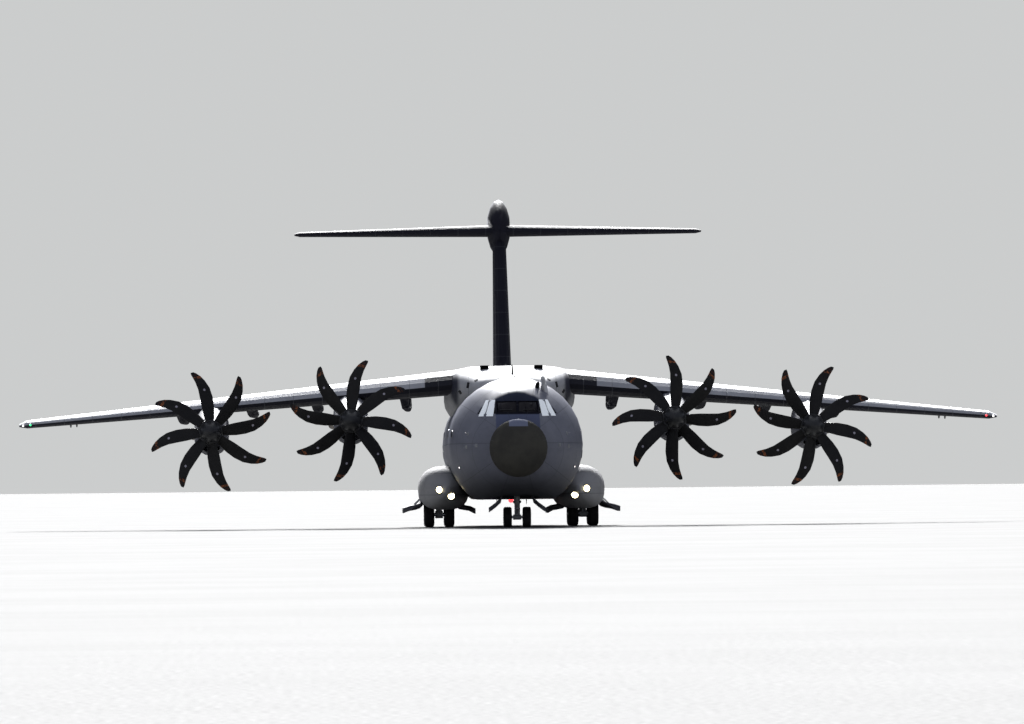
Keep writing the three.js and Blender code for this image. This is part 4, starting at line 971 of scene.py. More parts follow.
# %% One blade
def make_blade(hand):
    """Hand is 1 or -1: which way the blade is twisted and swept."""
    bpy.ops.object.select_all(action="DESELECT")
    share, _, width, _, thick = BLADE_STATIONS[0]
    base = share * BLADE_LENGTH
    bpy.ops.mesh.primitive_circle_add(vertices=20, radius=1, fill_type="NGON", location=(0, 0, base))
    blade = bpy.context.object
    open_piece()
    bpy.ops.transform.resize(value=(width / 4, thick / 4, 1), center_override=(0, 0, base))
    for before, after in zip(BLADE_STATIONS, BLADE_STATIONS[1:]):
        rise = (after[0] - before[0]) * BLADE_LENGTH
        bpy.ops.mesh.extrude_region_move(TRANSFORM_OT_translate={"value": (0, 0, rise)})
        middle = (0, 0, after[0] * BLADE_LENGTH)
        bpy.ops.transform.resize(value=(after[2] / before[2], after[4] / before[4], 1), center_override=middle)
    close_piece()
    bpy.ops.object.transform_apply(location=True, rotation=True, scale=True)
    wrap = blade.data.uv_layers["UVMap"]
    for loop in blade.data.loops:
        place = blade.data.vertices[loop.vertex_index].co
        wrap.data[loop.index].uv = (place.z / BLADE_LENGTH, place.x + 0.5)
    open_piece()
    for share, sweep, _, pitch, _ in reversed(BLADE_STATIONS):
        height = share * BLADE_LENGTH
        choose("VERT", lambda corner: abs(corner.co.z - height) < 0.012)
        for degrees, axis, middle in ((pitch, "Z", (0, 0, height)), (sweep, "Y", (0, 0, 0))):
            bpy.ops.transform.rotate(value=-hand * math.radians(degrees), orient_axis=axis, center_override=middle)
    face_outwards()
    return blade


first_blade = {hand: make_blade(hand) for hand in (1, -1)}
for hand, blade in first_blade.items():
    print("blade", hand, "faces", len(blade.data.polygons), "size", tuple(round(v, 3) for v in blade.dimensions))

# %% [markdown]
# The blades are nearly black. A worn orange band marks each tip so that the turning disc is easy to see, and a
# small pale spot at mid length marks where the blade is measured. Both follow the blade, so they are painted by its
# own map: across the map runs the share of the length, and up it the place along the chord.


# %% Blade paint
def make_blade_paint():
    made, tree, shader = new_material("blade_composite", Metallic=0.0, Specular_IOR_Level=0.3)
    where = tree.nodes.new("ShaderNodeUVMap")
    where.uv_map = "UVMap"
    parts = tree.nodes.new("ShaderNodeSeparateXYZ")
    join(tree, where.outputs[0], parts.inputs[0])
    share, chord = parts.outputs[0], parts.outputs[1]
    weather = use_group(tree, weather_group, Patch_Scale=4.0, Streak_Scale=5.0)
    colour = colour_mix(tree, weather.outputs["Patches"], (0.0065, 0.0062, 0.0068), (0.011, 0.0105, 0.011))
    worn = spread(tree, weather.outputs["Specks"], 0.2, 0.7)
    stripe = times(tree, band(tree, share, 0.872, 0.912, 0.004), worn)
    colour = colour_mix(tree, times(tree, stripe, 0.85), colour, (0.34, 0.105, 0.035))
    tip = times(tree, band(tree, share, 0.935, 0.955, 0.004), worn)
    colour = colour_mix(tree, times(tree, tip, 0.6), colour, (0.10, 0.022, 0.012))
    along = times(tree, minus(tree, share, 0.68), BLADE_LENGTH)
    off = minus(tree, chord, 0.5)
    square = math_node(tree, "ADD", times(tree, along, along), times(tree, off, off))
    spot = spread(tree, math_node(tree, "SQRT", square), 0.022, 0.028, 1.0, 0.0)
    colour = colour_mix(tree, spot, colour, (0.42, 0.40, 0.46))
    weave = add_node(tree, "ShaderNodeTexVoronoi", Scale=160.0)
    finish_shader(tree, shader, colour, weather, (0.42, 0.6), weave.outputs["Distance"], 0.12, 0.001)
    return made


blade_paint = make_blade_paint()
print("blade paint ready")

# %% [markdown]
# The spinner covers the hub. It is a blunt cone with a dark coat, closed by a flat disc at its back. Round each
# blade's foot is a short cuff.

# %% Propellers on their engines
SPINNER_STEPS = [
    (-0.36 + 0.475 * share, 0.25 * math.sqrt(max(0.0, 1 - (1 - share) ** 2.2)))
    for share in (0.0, 0.02, 0.06, 0.12, 0.2, 0.3, 0.42, 0.56, 0.72, 0.88, 1.0)
] + [(0.140, 0.250), (0.152, 0.246), (0.153, 0.20), (0.153, 0.0)]
CUFF_STEPS = [(0.17, 0.0), (0.17, 0.118), (0.225, 0.118), (0.245, 0.112), (0.252, 0.098), (0.252, 0.0)]

spinner = move_to(turned("spinner", SPINNER_STEPS, spinner_black, 48), turns=(-math.pi / 2, 0, 0))
cuff = turned("blade_cuff", CUFF_STEPS, black_fitting, 20)
for blade in first_blade.values():
    blade.data.materials.append(blade_paint)

for engine, (hub, turn, hand) in ENGINES.items():
    parts = [again(spinner, "hub")]
    for number in range(8):
        angle = -math.radians(turn + 45 * number)
        parts.append(move_to(again(first_blade[hand], "blade"), turns=(0, angle, 0)))
        parts.append(move_to(again(cuff, "cuff"), turns=(0, angle, 0)))
    propeller = move_to(merge(f"propeller_blades_{engine}", *parts), place=hub)
    node = f"propeller_{engine}"
    finish_piece(propeller, body_of_node(node), replaces=[node])
    print(propeller.name, "polygons", len(propeller.data.polygons))

for spare in (spinner, cuff, *first_blade.values()):
    bpy.data.objects.remove(spare)

# %% [markdown]
# ## Wheels
# The aircraft stands on twelve main wheels and two nose wheels, in pairs. A tyre is a round shell with grooves
# all round the tread, and it hides a dished alloy hub with a ring of bolts. Tyre and hub are both turned from an
# outline. One wheel is made for each size, and each pair is two copies of it on one axle.

# %% One wheel
WHEEL_SIDES = 48
LOADED = math.cos(math.pi / 16)
MAIN_RADIUS, NOSE_RADIUS = 0.545 * LOADED, 0.44 * LOADED
MAIN_AXLES, MAIN_TRACK, NOSE_AXLE = (17.68, 19.20, 20.72), 3.09, 5.3
BOLTS = 10


def tread(radius, half, grooves, depth):
    """Outline of a tyre's shell, from one bead over the tread to the other, with the given grooves."""
    steps = [(-half * 0.74, radius * 0.52), (-half * 0.90, radius * 0.60), (-half, radius * 0.76)]
    steps += [(-half * 0.92, radius * 0.90), (-half * 0.72, radius * 0.975)]
    for middle in grooves:
        for off, down in ((-0.0045, 0.0), (-0.0030, depth), (0.0030, depth), (0.0045, 0.0)):
            steps.append((middle * half + off, radius - down))
    steps += [(half * 0.72, radius * 0.975), (half * 0.92, radius * 0.90), (half, radius * 0.76)]
    steps += [(half * 0.90, radius * 0.60), (half * 0.74, radius * 0.52)]
    return steps


def make_wheel(name, radius, half, axle):
    """A tyre, its hub, a ring of bolts and a cap. The outer face looks along Z."""
    tread_steps = tread(radius, half, (-0.5, -0.17, 0.17, 0.5), 0.006)
    tyre = turned(name + "_tyre", tread_steps, rubber, WHEEL_SIDES, ring=True)
    rim = radius * 0.53
    hub_steps = [
        (-half * 0.78, 0.0), (-half * 0.78, rim * 0.92), (-half * 0.84, rim), (-half * 0.70, rim * 0.985),
        (-half * 0.60, rim * 0.94), (half * 0.60, rim * 0.94), (half * 0.70, rim * 0.985), (half * 0.84, rim),
        (half * 0.82, rim * 0.93), (half * 0.55, rim * 0.86), (half * 0.46, rim * 0.60), (half * 0.56, rim * 0.44),
        (half * 0.80, rim * 0.38), (half * 0.84, rim * 0.34), (half * 0.84, 0.0),
    ]
    hub = turned(name + "_hub", hub_steps, hub_metal, WHEEL_SIDES)
    bolt_steps = [(half * 0.44, rim * 0.055), (half * 0.60, rim * 0.055), (half * 0.64, 0.0)]
    bolt = turned("bolt", bolt_steps, chrome, 6)
    bolts, out = [], rim * 0.72
    for number in range(BOLTS):
        turn = 2 * math.pi * number / BOLTS
        bolts.append(move_to(again(bolt, "bolt"), place=(out * math.cos(turn), out * math.sin(turn), 0)))
    cap_steps = [(half * 0.82, axle), (half * 0.94, axle * 0.96), (half * 0.98, axle * 0.7), (half * 0.98, 0)]
    cap = turned("cap", cap_steps, chrome, 20)
    bpy.data.objects.remove(bolt)
    return merge(name, tyre, hub, cap, *bolts)


main_wheel = make_wheel("main_wheel", MAIN_RADIUS / 2, 0.105, 0.030)
nose_wheel = make_wheel("nose_wheel", NOSE_RADIUS / 2, 0.088, 0.022)
print("wheel polygons", len(main_wheel.data.polygons), len(nose_wheel.data.polygons))


# %% Wheel pairs
def wheel_pair(name, wheel, centre, spread_out, axle):
    """Two wheels on one axle. A wheel's outer face looks along Z, so one copy turns to the left, one to the right."""
    half = spread_out - 0.02
    shaft = turned("axle", [(-half, 0), (-half, axle), (half, axle), (half, 0)], chrome, 20)
    parts = [move_to(shaft, place=centre, turns=(0, math.pi / 2, 0))]
    for side in (1, -1):
        at = centre + Vector((side * spread_out, 0, 0))
        parts.append(move_to(again(wheel, "wheel"), place=at, turns=(0, side * math.pi / 2, 0)))
    return merge(name, *parts)


for side_name, side in SIDES:
    for row, aft in enumerate(MAIN_AXLES, start=1):
        node = f"main_wheels_{row}_{side_name}"
        centre = real(side * MAIN_TRACK, aft, MAIN_RADIUS)
        pair = wheel_pair(f"tyres_{row}_{side_name}", main_wheel, centre, 0.215, 0.0375)
        finish_piece(pair, body_of_node(node), replaces=[node], smooth=40)
centre = real(0, NOSE_AXLE, NOSE_RADIUS)
pair = wheel_pair("tyres_nose", nose_wheel, centre, 0.20, 0.0275)
finish_piece(pair, body_of_node("nose_wheels"), replaces=["nose_wheels"], smooth=40)
for spare in (main_wheel, nose_wheel):
    bpy.data.objects.remove(spare)
print("wheel pairs placed")

# %% [markdown]
# ## Finding the skin
# Lamps, aerials and vents stand on curved skin. Measuring each place by hand would be slow, and would leave some of
# them in the air. `touch` sends a straight line from a place towards the aircraft and tells where it first meets a
# solid and which way the skin faces there. `sit` then stands a piece on that spot. Pieces for it are modelled
# upright: their foot is at the origin, Z points away from the skin and Y points aft.


# %% Helpers that find the skin
DOWN, UP, AFT, FORWARD = Vector((0, 0, -1)), Vector((0, 0, 1)), Vector((0, 1, 0)), Vector((0, -1, 0))
skin_trees = {}


def first_hit(node, start, towards):
    """Where a line from a place first meets a solid, and which way the skin faces there; None where it meets none."""
    if node not in skin_trees:
        mesh = nodes[node].data
        corners, faces = [v.co for v in mesh.vertices], [f.vertices for f in mesh.polygons]
        skin_trees[node] = BVHTree.FromPolygons(corners, faces)
    return skin_trees[node].ray_cast(start, towards.normalized())[:2]


def touch(node, start, towards):
    """The same for a line that must meet the skin."""
    place, normal = first_hit(node, start, towards)
    if place is None:
        raise RuntimeError(f"no skin of {node} on the line from {tuple(start)}")
    return place, normal


def sit(piece, node, start, towards, sink=0.003, upright=None):
    """Stands a piece on the skin, its foot sunk a little, its Z along the normal or along a given way."""
    place, normal = touch(node, start, towards)
    up = (upright or normal).normalized()
    along = AFT if abs(up.dot(AFT)) < 0.9 else UP
    along = (along - up * along.dot(up)).normalized()
    turn = Matrix((along.cross(up), along, up)).transposed()
    pick(piece)
    piece.matrix_world = Matrix.Translation(place - up * sink) @ turn.to_4x4()
    bpy.ops.object.transform_apply(location=True, rotation=True, scale=True)
    return piece


at_light = touch("nose_fuselage", real(2.38, 1, 2.52), AFT)
print("nose skin at the left side light", [tuple(round(part, 3) for part in vector) for vector in at_light])


# %% Small shapes
def slab(name, wide, long, high, finish, edge=0.25, taper=1.0):
    """A block with its foot on Z = 0, rounded edges and a top that is smaller by the taper."""
    bpy.ops.object.select_all(action="DESELECT")
    bpy.ops.mesh.primitive_cube_add(size=1, location=(0, 0, high / 2))
    piece = bpy.context.object
    piece.name = name
    piece.scale = (wide, long, high)
    bpy.ops.object.transform_apply(location=True, rotation=True, scale=True)
    open_piece()
    choose("FACE", lambda face: face.normal.z > 0.9)
    bpy.ops.transform.resize(value=(taper, taper, 1), center_override=(0, 0, high))
    bpy.ops.mesh.select_all(action="SELECT")
    bpy.ops.mesh.bevel(offset=min(wide, long, high) * edge, segments=2, affect="EDGES")
    close_piece()
    piece.data.materials.append(finish)
    return piece


def fin_blade(name, high, chord, thick, sweep, finish, tip=0.5):
    """A thin swept blade with a round section, such as an aerial. It narrows towards its tip."""
    bpy.ops.object.select_all(action="DESELECT")
    bpy.ops.mesh.primitive_circle_add(vertices=12, radius=0.5, fill_type="NGON")
    piece = bpy.context.object
    piece.name = name
    open_piece()
    bpy.ops.transform.resize(value=(thick, chord, 1), center_override=(0, 0, 0))
    before, size = 0.0, 1.0
    for share, wanted in ((0.5, mix(1, tip, 0.4)), (0.85, mix(1, tip, 0.8)), (0.97, tip * 0.8), (1.0, tip * 0.4)):
        step = share - before
        bpy.ops.mesh.extrude_region_move(TRANSFORM_OT_translate={"value": (0, sweep * step, high * step)})
        factor = wanted / size
        bpy.ops.transform.resize(value=(factor, factor, 1), center_override=(0, sweep * share, high * share))
        before, size = share, wanted
    face_outwards()
    piece.data.materials.append(finish)
    return piece


def mix(first, last, share):
    return first + (last - first) * share


def rod(name, start, end, radius, finish, sides=12):
    """A round bar between two places, with its ends rounded off."""
    way = end - start
    edge = radius * 0.35
    steps = [(0, 0), (0, radius - edge), (edge, radius)]
    steps += [(way.length - edge, radius), (way.length, radius - edge), (way.length, 0)]
    return move_to(turned(name, steps, finish, sides), start, way.to_track_quat("Z", "Y").to_euler())


def beacon(name, radius, high):
    """A flashing light: a red dome on a low black foot."""
    foot_steps = [(0, 0), (0, radius * 1.15), (high * 0.18, radius * 1.1), (high * 0.2, 0)]
    foot = turned("foot", foot_steps, matt_black, 24)
    steps = [(high * share, radius * width) for share, width in ((0.3, 1.0), (0.6, 0.9), (0.85, 0.62), (0.97, 0.28))]
    dome = turned("dome", [(high * 0.2, 0), (high * 0.2, radius)] + steps + [(high, 0)], red_light, 24)
    return merge(name, foot, dome)


def lamp(name, radius, depth, lens, sides=24):
    """A round housing with a lens that stands in it."""
    rim = [(0, 0), (0, radius), (depth * 0.8, radius), (depth, radius * 0.93), (depth, radius * 0.82)]
    housing = turned("housing", rim + [(depth * 0.7, radius * 0.80), (depth * 0.7, 0)], black_fitting, sides)
    dome = [(depth * 0.7, 0), (depth * 0.7, radius * 0.79), (depth * 0.95, radius * 0.66)]
    glass = turned("lens", dome + [(depth * 1.1, radius * 0.36), (depth * 1.14, 0)], lens, sides)
    return merge(name, housing, glass)


print("small shapes ready")

# %% [markdown]
# ## Side panes
# Two tall slanted panes on each side of the windscreen are set a little proud of the skin. Their corners are measured
# as seen from the front. The skin has openings there, so it can't be measured at each point. Instead a smooth formula
# is fitted to the skin around them. A flat grid takes that outline and that curve, and then gets a thickness that
# sinks it into the skin.


# %% The shape of the skin round the panes
PANE_MIDDLE = 2.4
PANE_STANDS_OUT, PANE_THICKNESS = 0.013, 0.024


def terms(x, z):
    """All products of powers of the two places, up to the fourth power."""
    return [x**power * (z - PANE_MIDDLE) ** other for power in range(5) for other in range(5 - power)]


def fit_skin(rounds=4):
    """A smooth formula for the nose skin, fitted to where straight lines meet it round the pane openings."""
    found = []
    for column in range(18):
        for row in range(18):
            x, z = 0.44 + 0.026 * column, 2.25 + 0.028 * row
            place, normal = first_hit("nose_fuselage", Vector((x, -12, z)), AFT)
            if place is not None and 0.3 < normal.x < 0.85 and place.y < -8.4:
                found.append(place)
    for _ in range(rounds):
        table = np.array([terms(p.x, p.z) for p in found])
        depths = np.array([p.y for p in found])
        answer = np.linalg.lstsq(table, depths, rcond=None)[0]
        errors = np.abs(table @ answer - depths)
        found = [p for p, error in zip(found, errors) if error < max(0.008, 2 * float(errors.mean()))]
    return answer, len(found), float(errors.max())


skin_formula, used, worst = fit_skin()
print("skin formula from", used, "places, worst error", round(worst * 1000, 1), "mm")


# %% Slanted side panes
def draped_pane(name, lower_inner, lower_outer, upper_outer, upper_inner, side):
    """A pane with these four corners, seen from the front, that follows the formula."""
    bpy.ops.object.select_all(action="DESELECT")
    bpy.ops.mesh.primitive_grid_add(x_subdivisions=6, y_subdivisions=12, size=1)
    piece = bpy.context.object
    piece.name = name
    for corner in piece.data.vertices:
        across, along = corner.co.x + 0.5, corner.co.y + 0.5
        low, high = lower_inner.lerp(lower_outer, across), upper_inner.lerp(upper_outer, across)
        spot = low.lerp(high, along)
        aft = float(np.dot(terms(spot.x, spot.y), skin_formula))
        corner.co = Vector((side * spot.x, aft - PANE_STANDS_OUT, spot.y))
    pick(piece)
    if side < 0:
        open_piece()
        bpy.ops.mesh.flip_normals()
        close_piece()
    thick = piece.modifiers.new("Thickness", "SOLIDIFY")
    thick.thickness, thick.offset = PANE_THICKNESS, -1
    bpy.ops.object.modifier_apply(modifier="Thickness")
    piece.data.materials.append(side_glass)
    return finish_piece(piece)


for side_name, side in SIDES:
    outlines = (
        ((0.512, 2.315), (0.664, 2.315), (0.558, 2.655), (0.455, 2.655)),
        ((0.694, 2.315), (0.806, 2.315), (0.640, 2.655), (0.582, 2.655)),
    )
    for number, outline in enumerate(outlines, start=1):
        draped_pane(f"side_pane_{number}_{side_name}", *(Vector(corner) for corner in outline), side)
print("side panes laid")

# %% [markdown]
# ## Lamps
# Two bright landing lights shine from the front of each pod beside the body, and a small one from each side of the
# nose. A red beacon hangs under the belly, and two more stand on the roof and on the tail. The wing tips carry a
# red lamp on the left and a green one on the right, each with a white strobe beside it. All are sunk into the
# skin to their rims.

# %% Lamps on body, pods and wing tips
for side_name, side in SIDES:
    for number, (out, high) in enumerate(((3.13, 1.60), (2.63, 1.33)), start=1):
        light = lamp(f"landing_light_{number}_{side_name}", 0.085, 0.08, landing_light, 32)
        sit(light, f"sponson_{side_name}", real(side * out, 10, high), AFT, sink=0.035, upright=FORWARD)
        finish_piece(light)
    light = lamp(f"side_light_{side_name}", 0.030, 0.03, side_light)
    sit(light, "nose_fuselage", real(side * 2.38, 1, 2.52), AFT, sink=0.018)
    finish_piece(light)
    colour = red_light if side > 0 else green_light
    for kind, out, lens in (("navigation_light", 20.70, colour), ("strobe_light", 21.02, white_light)):
        light = lamp(f"{kind}_{side_name}", 0.028, 0.03, lens)
        high = 4.54 + 0.0817 * (21.2 - out)
        sit(light, f"wing_{side_name}", real(side * out, 15, high), AFT, sink=0.018, upright=FORWARD)
        finish_piece(light)
for name, node, start, towards, radius, high in (
    ("belly_beacon", "centre_fuselage", real(-0.06, 15.5, 0), UP, 0.055, 0.085),
    ("roof_beacon", "wing_fairing", real(0, 22.5, 9), DOWN, 0.05, 0.05),
    ("tail_beacon", "tailplane", real(0, 42.2, 16), DOWN, 0.05, 0.05),
):
    light = sit(beacon(name, radius, high), node, start, towards, sink=0.006)
    finish_piece(light)

# %% [markdown]
# ## Aerials, vents and probes
# Two dark scoops stand at the front of the wing fairing, with small grilles on its flanks and a tall blade aerial
# between them. More aerials stand along the back and hang under the belly. Air data probes reach forward from both
# sides of the nose, clear of the skin, so that they meet air that the body hasn't disturbed.


# %% Scoops and grilles on the fairing
def scoop(name, wide, long, high):
    """A block whose front face is drawn in and pushed back, as an air intake."""
    piece = slab(name, wide, long, high, matt_black, edge=0.12, taper=0.95)
    pick(piece)
    open_piece()
    choose("FACE", lambda face: face.normal.y < -0.9)
    bpy.ops.mesh.inset(thickness=high * 0.14, depth=-long * 0.3)
    close_piece()
    return piece


def grille(name, wide, long):
    """A thin frame with four bars across."""
    parts = [slab(name, wide, long, 0.008, matt_black)]
    for number in range(4):
        bar = slab("bar", wide * 0.8, long * 0.08, 0.006, black_fitting)
        parts.append(move_to(bar, place=(0, long * (number - 1.5) * 0.2, 0.006)))
    return merge(name, *parts)


for side_name, side in SIDES:
    piece = scoop(f"roof_scoop_{side_name}", 0.190, 0.26, 0.086)
    sit(piece, "wing_fairing", real(side * 1.15, 14.5, 9), DOWN, upright=UP, sink=0.014)
    finish_piece(piece)
    for number, (out, high, wide, long) in enumerate(
        ((1.88, 6.02, 0.12, 0.16), (1.54, 6.22, 0.08, 0.13), (2.20, 5.74, 0.08, 0.22)), start=1
    ):
        piece = grille(f"fairing_grille_{number}_{side_name}", wide, long)
        sit(piece, "wing_fairing", real(side * out, 7, high), AFT)
        finish_piece(piece)
# A matt black block beside the probe's foot: a painted shadow where the foot is in shade.
foot = slab("probe_foot_shade", 0.10, 0.50, 0.09, matt_black, edge=0.4, taper=0.6)
sit(foot, "nose_fuselage", real(0.88, 4.95, 9), DOWN, sink=0.01)
finish_piece(foot)
print("scoops, grilles and the foot beside the probe placed")

# %% Aerials
AERIALS = (
    ("aerial_fairing", "wing_fairing", real(0, 12.4, 9), DOWN, 0.19, 0.22, 0.050),
    ("aerial_roof_front", "nose_fuselage", real(0, 6.9, 9), DOWN, 0.13, 0.14, 0.020),
    ("aerial_roof_rear", "rear_fuselage", real(0, 28.2, 9), DOWN, 0.16, 0.18, 0.024),
    ("aerial_belly_front", "nose_fuselage", real(0, 6.9, 0), UP, 0.10, 0.14, 0.020),
    ("aerial_belly_middle", "centre_fuselage", real(0.5, 10.5, 0), UP, 0.12, 0.15, 0.022),
    ("aerial_belly_rear", "centre_fuselage", real(-0.5, 24.5, 0), UP, 0.12, 0.15, 0.022),
)
for name, node, start, towards, high, chord, thick in AERIALS:
    piece = fin_blade(name, high, chord, thick, 0.4 * high, matt_black)
    sit(piece, node, start, towards, sink=0.008)
    finish_piece(piece)
for side_name, side in SIDES:
    for number, out in enumerate((18.72, 18.98), start=1):
        piece = fin_blade(f"aileron_fairing_{number}_{side_name}", 0.085, 0.25, 0.045, 0.05, black_fitting, tip=0.6)
        sit(piece, f"wing_{side_name}", real(side * out, 22.75, 2), UP, sink=0.01, upright=DOWN)
        finish_piece(piece)
print("aerials placed")


# %% Air data probes and wipers
def air_probe(name, node, start, towards, reach, length):
    """A short arm out from the skin that carries a tube pointing forward."""
    place, normal = touch(node, start, towards)
    foot, elbow = place - normal * 0.008, place + normal * reach
    arm = rod("arm", foot, elbow + normal * 0.004, 0.011, hub_metal)
    tube = rod("tube", elbow + AFT * 0.02, elbow + FORWARD * length, 0.008, chrome)
    plate = sit(slab("plate", 0.07, 0.09, 0.006, hub_metal), node, start, towards)
    return merge(name, arm, tube, plate)


for side_name, side in SIDES:
    for number, (out, high) in enumerate(((2.05, 3.90), (1.72, 3.42), (2.12, 3.36)), start=1):
        start = real(side * out, 0.5, high)
        probe = air_probe(f"air_probe_{number}_{side_name}", "nose_fuselage", start, AFT, 0.05, 0.09)
        finish_piece(probe)
    foot, normal = touch("nose_fuselage", real(side * 0.30, 0.5, 4.72), AFT)
    tip, tip_normal = touch("cockpit_glazing", real(side * 0.62, 0.5, 5.00), AFT)
    inner, inner_normal = touch("cockpit_glazing", real(side * 0.22, 0.5, 4.86), AFT)
    outer, outer_normal = touch("cockpit_glazing", real(side * 0.70, 0.5, 4.86), AFT)
    arm = rod("arm", foot - normal * 0.004, inner.lerp(outer, 0.5) + tip_normal * 0.022, 0.006, black_fitting, 8)
    rubber_edge = rod("edge", inner + inner_normal * 0.020, outer + outer_normal * 0.020, 0.006, black_fitting, 8)
    wiper = merge(f"wiper_{side_name}", arm, rubber_edge)
    finish_piece(wiper)
print("probes and wipers placed")

# %% [markdown]
# ## Undercarriage fittings
# A strut must not twist, so two links in front of it join its sliding part to its sleeve: the torque links. On the
# steered nose leg they turn with the wheels, and end at a collar round the sleeve. The bay doors are held open by
# thin rods.


# %% Torque links and door rods
def torque_links(name, place, lower, upper, out, half, radius):
    """Two pairs of arms that meet at a pin in front of the strut."""
    apex = (lower + upper) / 2
    parts = []
    for side in (1, -1):
        low = place + Vector((side * half, -out * 0.45, lower))
        knee = place + Vector((side * half, -out, apex))
        high = place + Vector((side * half, -out * 0.45, upper))
        parts += [rod("link", low, knee, radius, gear_white), rod("link", knee, high, radius, gear_white)]
    across = Vector((half + radius, 0, 0))
    for out_part, height in ((1.0, apex), (0.45, lower), (0.45, upper)):
        at = place + Vector((0, -out * out_part, height))
        parts.append(rod("pin", at - across, at + across, radius * 0.8, chrome))
    return merge(name, *parts)


under_nose_leg = real(0, NOSE_AXLE, 0)
collar_steps = [(0.510, 0.0725), (0.510, 0.088), (0.560, 0.088), (0.560, 0.0725)]
collar = move_to(turned("collar", collar_steps, gear_white, ring=True), place=under_nose_leg)
links = torque_links("nose_torque_links", under_nose_leg, 0.262, 0.535, 0.155, 0.042, 0.017)
lugs = []
for side in (1, -1):
    start, end = (under_nose_leg + Vector((side * 0.03, -0.076, height)) for height in (0.535, 0.530))
    lugs.append(rod("lug", start, end, 0.012, gear_white))
links = merge("nose_torque_links", links, collar, *lugs)
finish_piece(links, body_of_node("nose_gear_fork"))

for side_name, side in SIDES:
    for row, aft in enumerate(MAIN_AXLES, start=1):
        place = real(side * MAIN_TRACK, aft, 0)
        links = torque_links(f"torque_links_{row}_{side_name}", place, 0.31, 0.62, 0.19, 0.03, 0.013)
        finish_piece(links)
    for number, aft in enumerate((17.3, 21.1), start=1):
        rods = [
            rod("rod", real(side * 4.25, aft, 0.86), real(side * 3.70, aft, 1.42), 0.014, gear_white),
            rod("rod", real(side * 1.95, aft, 0.84), real(side * 2.46, aft, 1.42), 0.014, gear_white),
        ]
        rods = merge(f"door_rods_{number}_{side_name}", *rods)
        finish_piece(rods)
    start, end = real(side * 0.92, 5.9, 0.93), real(side * 0.56, 5.9, 1.40)
    nose_rod = rod(f"nose_door_rod_{side_name}", start, end, 0.012, gear_white)
    finish_piece(nose_rod)
print("undercarriage fittings placed")

# %% [markdown]
# ## Engines
# Each cowl has an oval intake lip under the spinner and an exhaust on its outer side, a bare steel pipe that is
# blued by heat and cut off at a slant.


# %% Intake lips and exhausts
def exhaust_pipe(name):
    outline = [(0, 0.085), (0.30, 0.085), (0.305, 0.080), (0.30, 0.072), (0.02, 0.070), (0.0, 0.075)]
    pipe = turned(name, outline, steel, ring=True)
    pick(pipe)
    open_piece()
    bpy.ops.mesh.bisect(plane_co=(0, 0, 0.24), plane_no=(-0.55, 0, 1), clear_outer=True, use_fill=True)
    close_piece()
    return pipe


LIP_STEPS = [(0, 0.200), (-0.02, 0.208), (-0.032, 0.200), (-0.02, 0.190), (0, 0.186)]
for engine, (hub, _, _) in ENGINES.items():
    side = 1 if hub.x > 0 else -1
    lip = turned(f"intake_lip_{engine}", LIP_STEPS, hub_metal, 40, ring=True)
    pick(lip)
    open_piece()
    bpy.ops.transform.resize(value=(1, 0.42, 1), center_override=(0, 0, 0))
    close_piece()
    move_to(lip, place=hub + Vector((0, 0.176, -0.345)), turns=(-math.pi / 2, 0, 0))
    finish_piece(lip)
    pipe = exhaust_pipe(f"exhaust_{engine}")
    place, normal = touch(f"nacelle_{engine}", hub + Vector((side * 0.9, 1.15, -0.08)), Vector((-side, 0, 0)))
    way = (AFT + normal * 0.32).normalized()
    move_to(pipe, place=place - way * 0.10 - normal * 0.03, turns=way.to_track_quat("Z", "Y").to_euler())
    finish_piece(pipe)
print("engine fittings placed")

# %% [markdown]
# ## Windows, handles and wicks
# Round windows with a metal rim let light into the hold and sit in the doors. Thin wicks on the trailing edges let
# static electricity leak away; they ride with the surfaces that they are fixed to.


# %% Round windows and handles
def porthole(name, radius):
    """A round pane in a low metal rim."""
    rim_steps = [(0, 1.0), (0.010, 1.0), (0.014, 0.94), (0.010, 0.84), (0, 0.82)]
    rim = turned("rim", [(high, radius * share) for high, share in rim_steps], hub_metal, ring=True)
    pane_steps = [(0, 0), (0, radius * 0.83), (0.007, radius * 0.83), (0.008, 0)]
    pane = turned("pane", pane_steps, screen_glass)
    return merge(name, rim, pane)


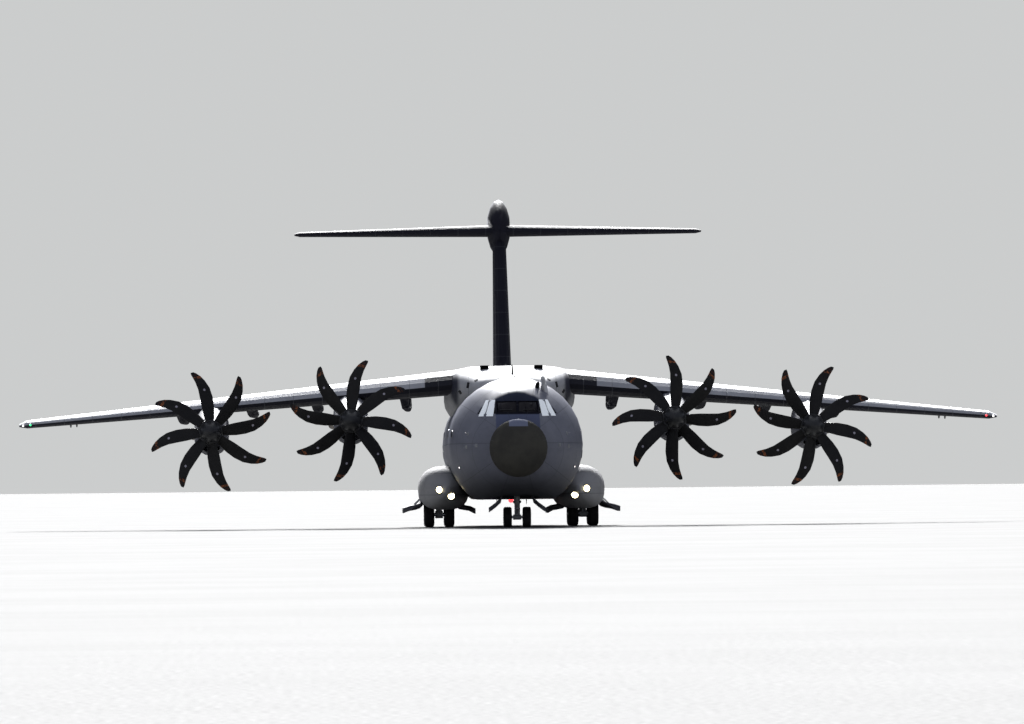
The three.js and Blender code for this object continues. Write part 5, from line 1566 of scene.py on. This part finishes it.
PORTHOLES = [("nose_fuselage", 5.7, 3.9, -1), ("crew_door", 6.8, 3.05, 1)]
for side in (1, -1):
    PORTHOLES += [("centre_fuselage", aft, 3.95, side) for aft in (9.2, 11.4, 23.4)]
    PORTHOLES.append((f"paratroop_door_{'left' if side > 0 else 'right'}", 25.97, 3.1, side))
for number, (node, aft, high, side) in enumerate(PORTHOLES, start=1):
    window = porthole(f"porthole_{number}", 0.085)
    sit(window, node, real(side * 6, aft, high), Vector((-side, 0, 0)))
    finish_piece(window, body_of_node(node))
for name, node, aft, high, side in (
    ("crew_door_handle", "crew_door", 6.52, 2.55, 1),
    ("jump_door_handle_left", "paratroop_door_left", 25.68, 2.6, 1),
    ("jump_door_handle_right", "paratroop_door_right", 25.68, 2.6, -1),
):
    handle = slab(name, 0.028, 0.11, 0.012, hub_metal)
    sit(handle, node, real(side * 6, aft, high), Vector((-side, 0, 0)))
    finish_piece(handle, body_of_node(node))
print("portholes", len(PORTHOLES))


# %% Static wicks
def wick(name, place):
    return rod(name, place + FORWARD * 0.012, place + AFT * 0.075, 0.0035, black_fitting, 6)


WING_ROOT, WING_TIP = (2.60, 15.53, 7.26, 6.06), (21.2, 21.75, 2.75, 4.54)


def wing_edge(out):
    """Aft and up of the wing's trailing edge, from its distance out, leading edge, chord and height at each end."""
    share = (out - WING_ROOT[0]) / (WING_TIP[0] - WING_ROOT[0])
    lead, chord, high = (mix(root, tip, share) for root, tip in zip(WING_ROOT[1:], WING_TIP[1:]))
    return lead + chord, high


def wick_row(node, places, ending=""):
    """Wicks at these places, as one piece that rides with the surface."""
    row = merge(f"{node}_wicks{ending}", *[wick("wick", place) for place in places])
    finish_piece(row, body_of_node(node + ending))


for side_name, side in SIDES:
    ending = "_" + side_name
    wick_row("aileron", [real(side * out, *wing_edge(out)) for out in (17.0, 18.4, 19.8)], ending)
    wick_row("elevator", [real(side * out, 43.25 + 0.1676 * out, 13.25) for out in (5.5, 7.0, 8.5)], ending)
wick_row("rudder", [real(0, 41.9 + 0.1986 * (high - 5.9), high) for high in (8.2, 9.6, 11.0)])
print("wicks placed")
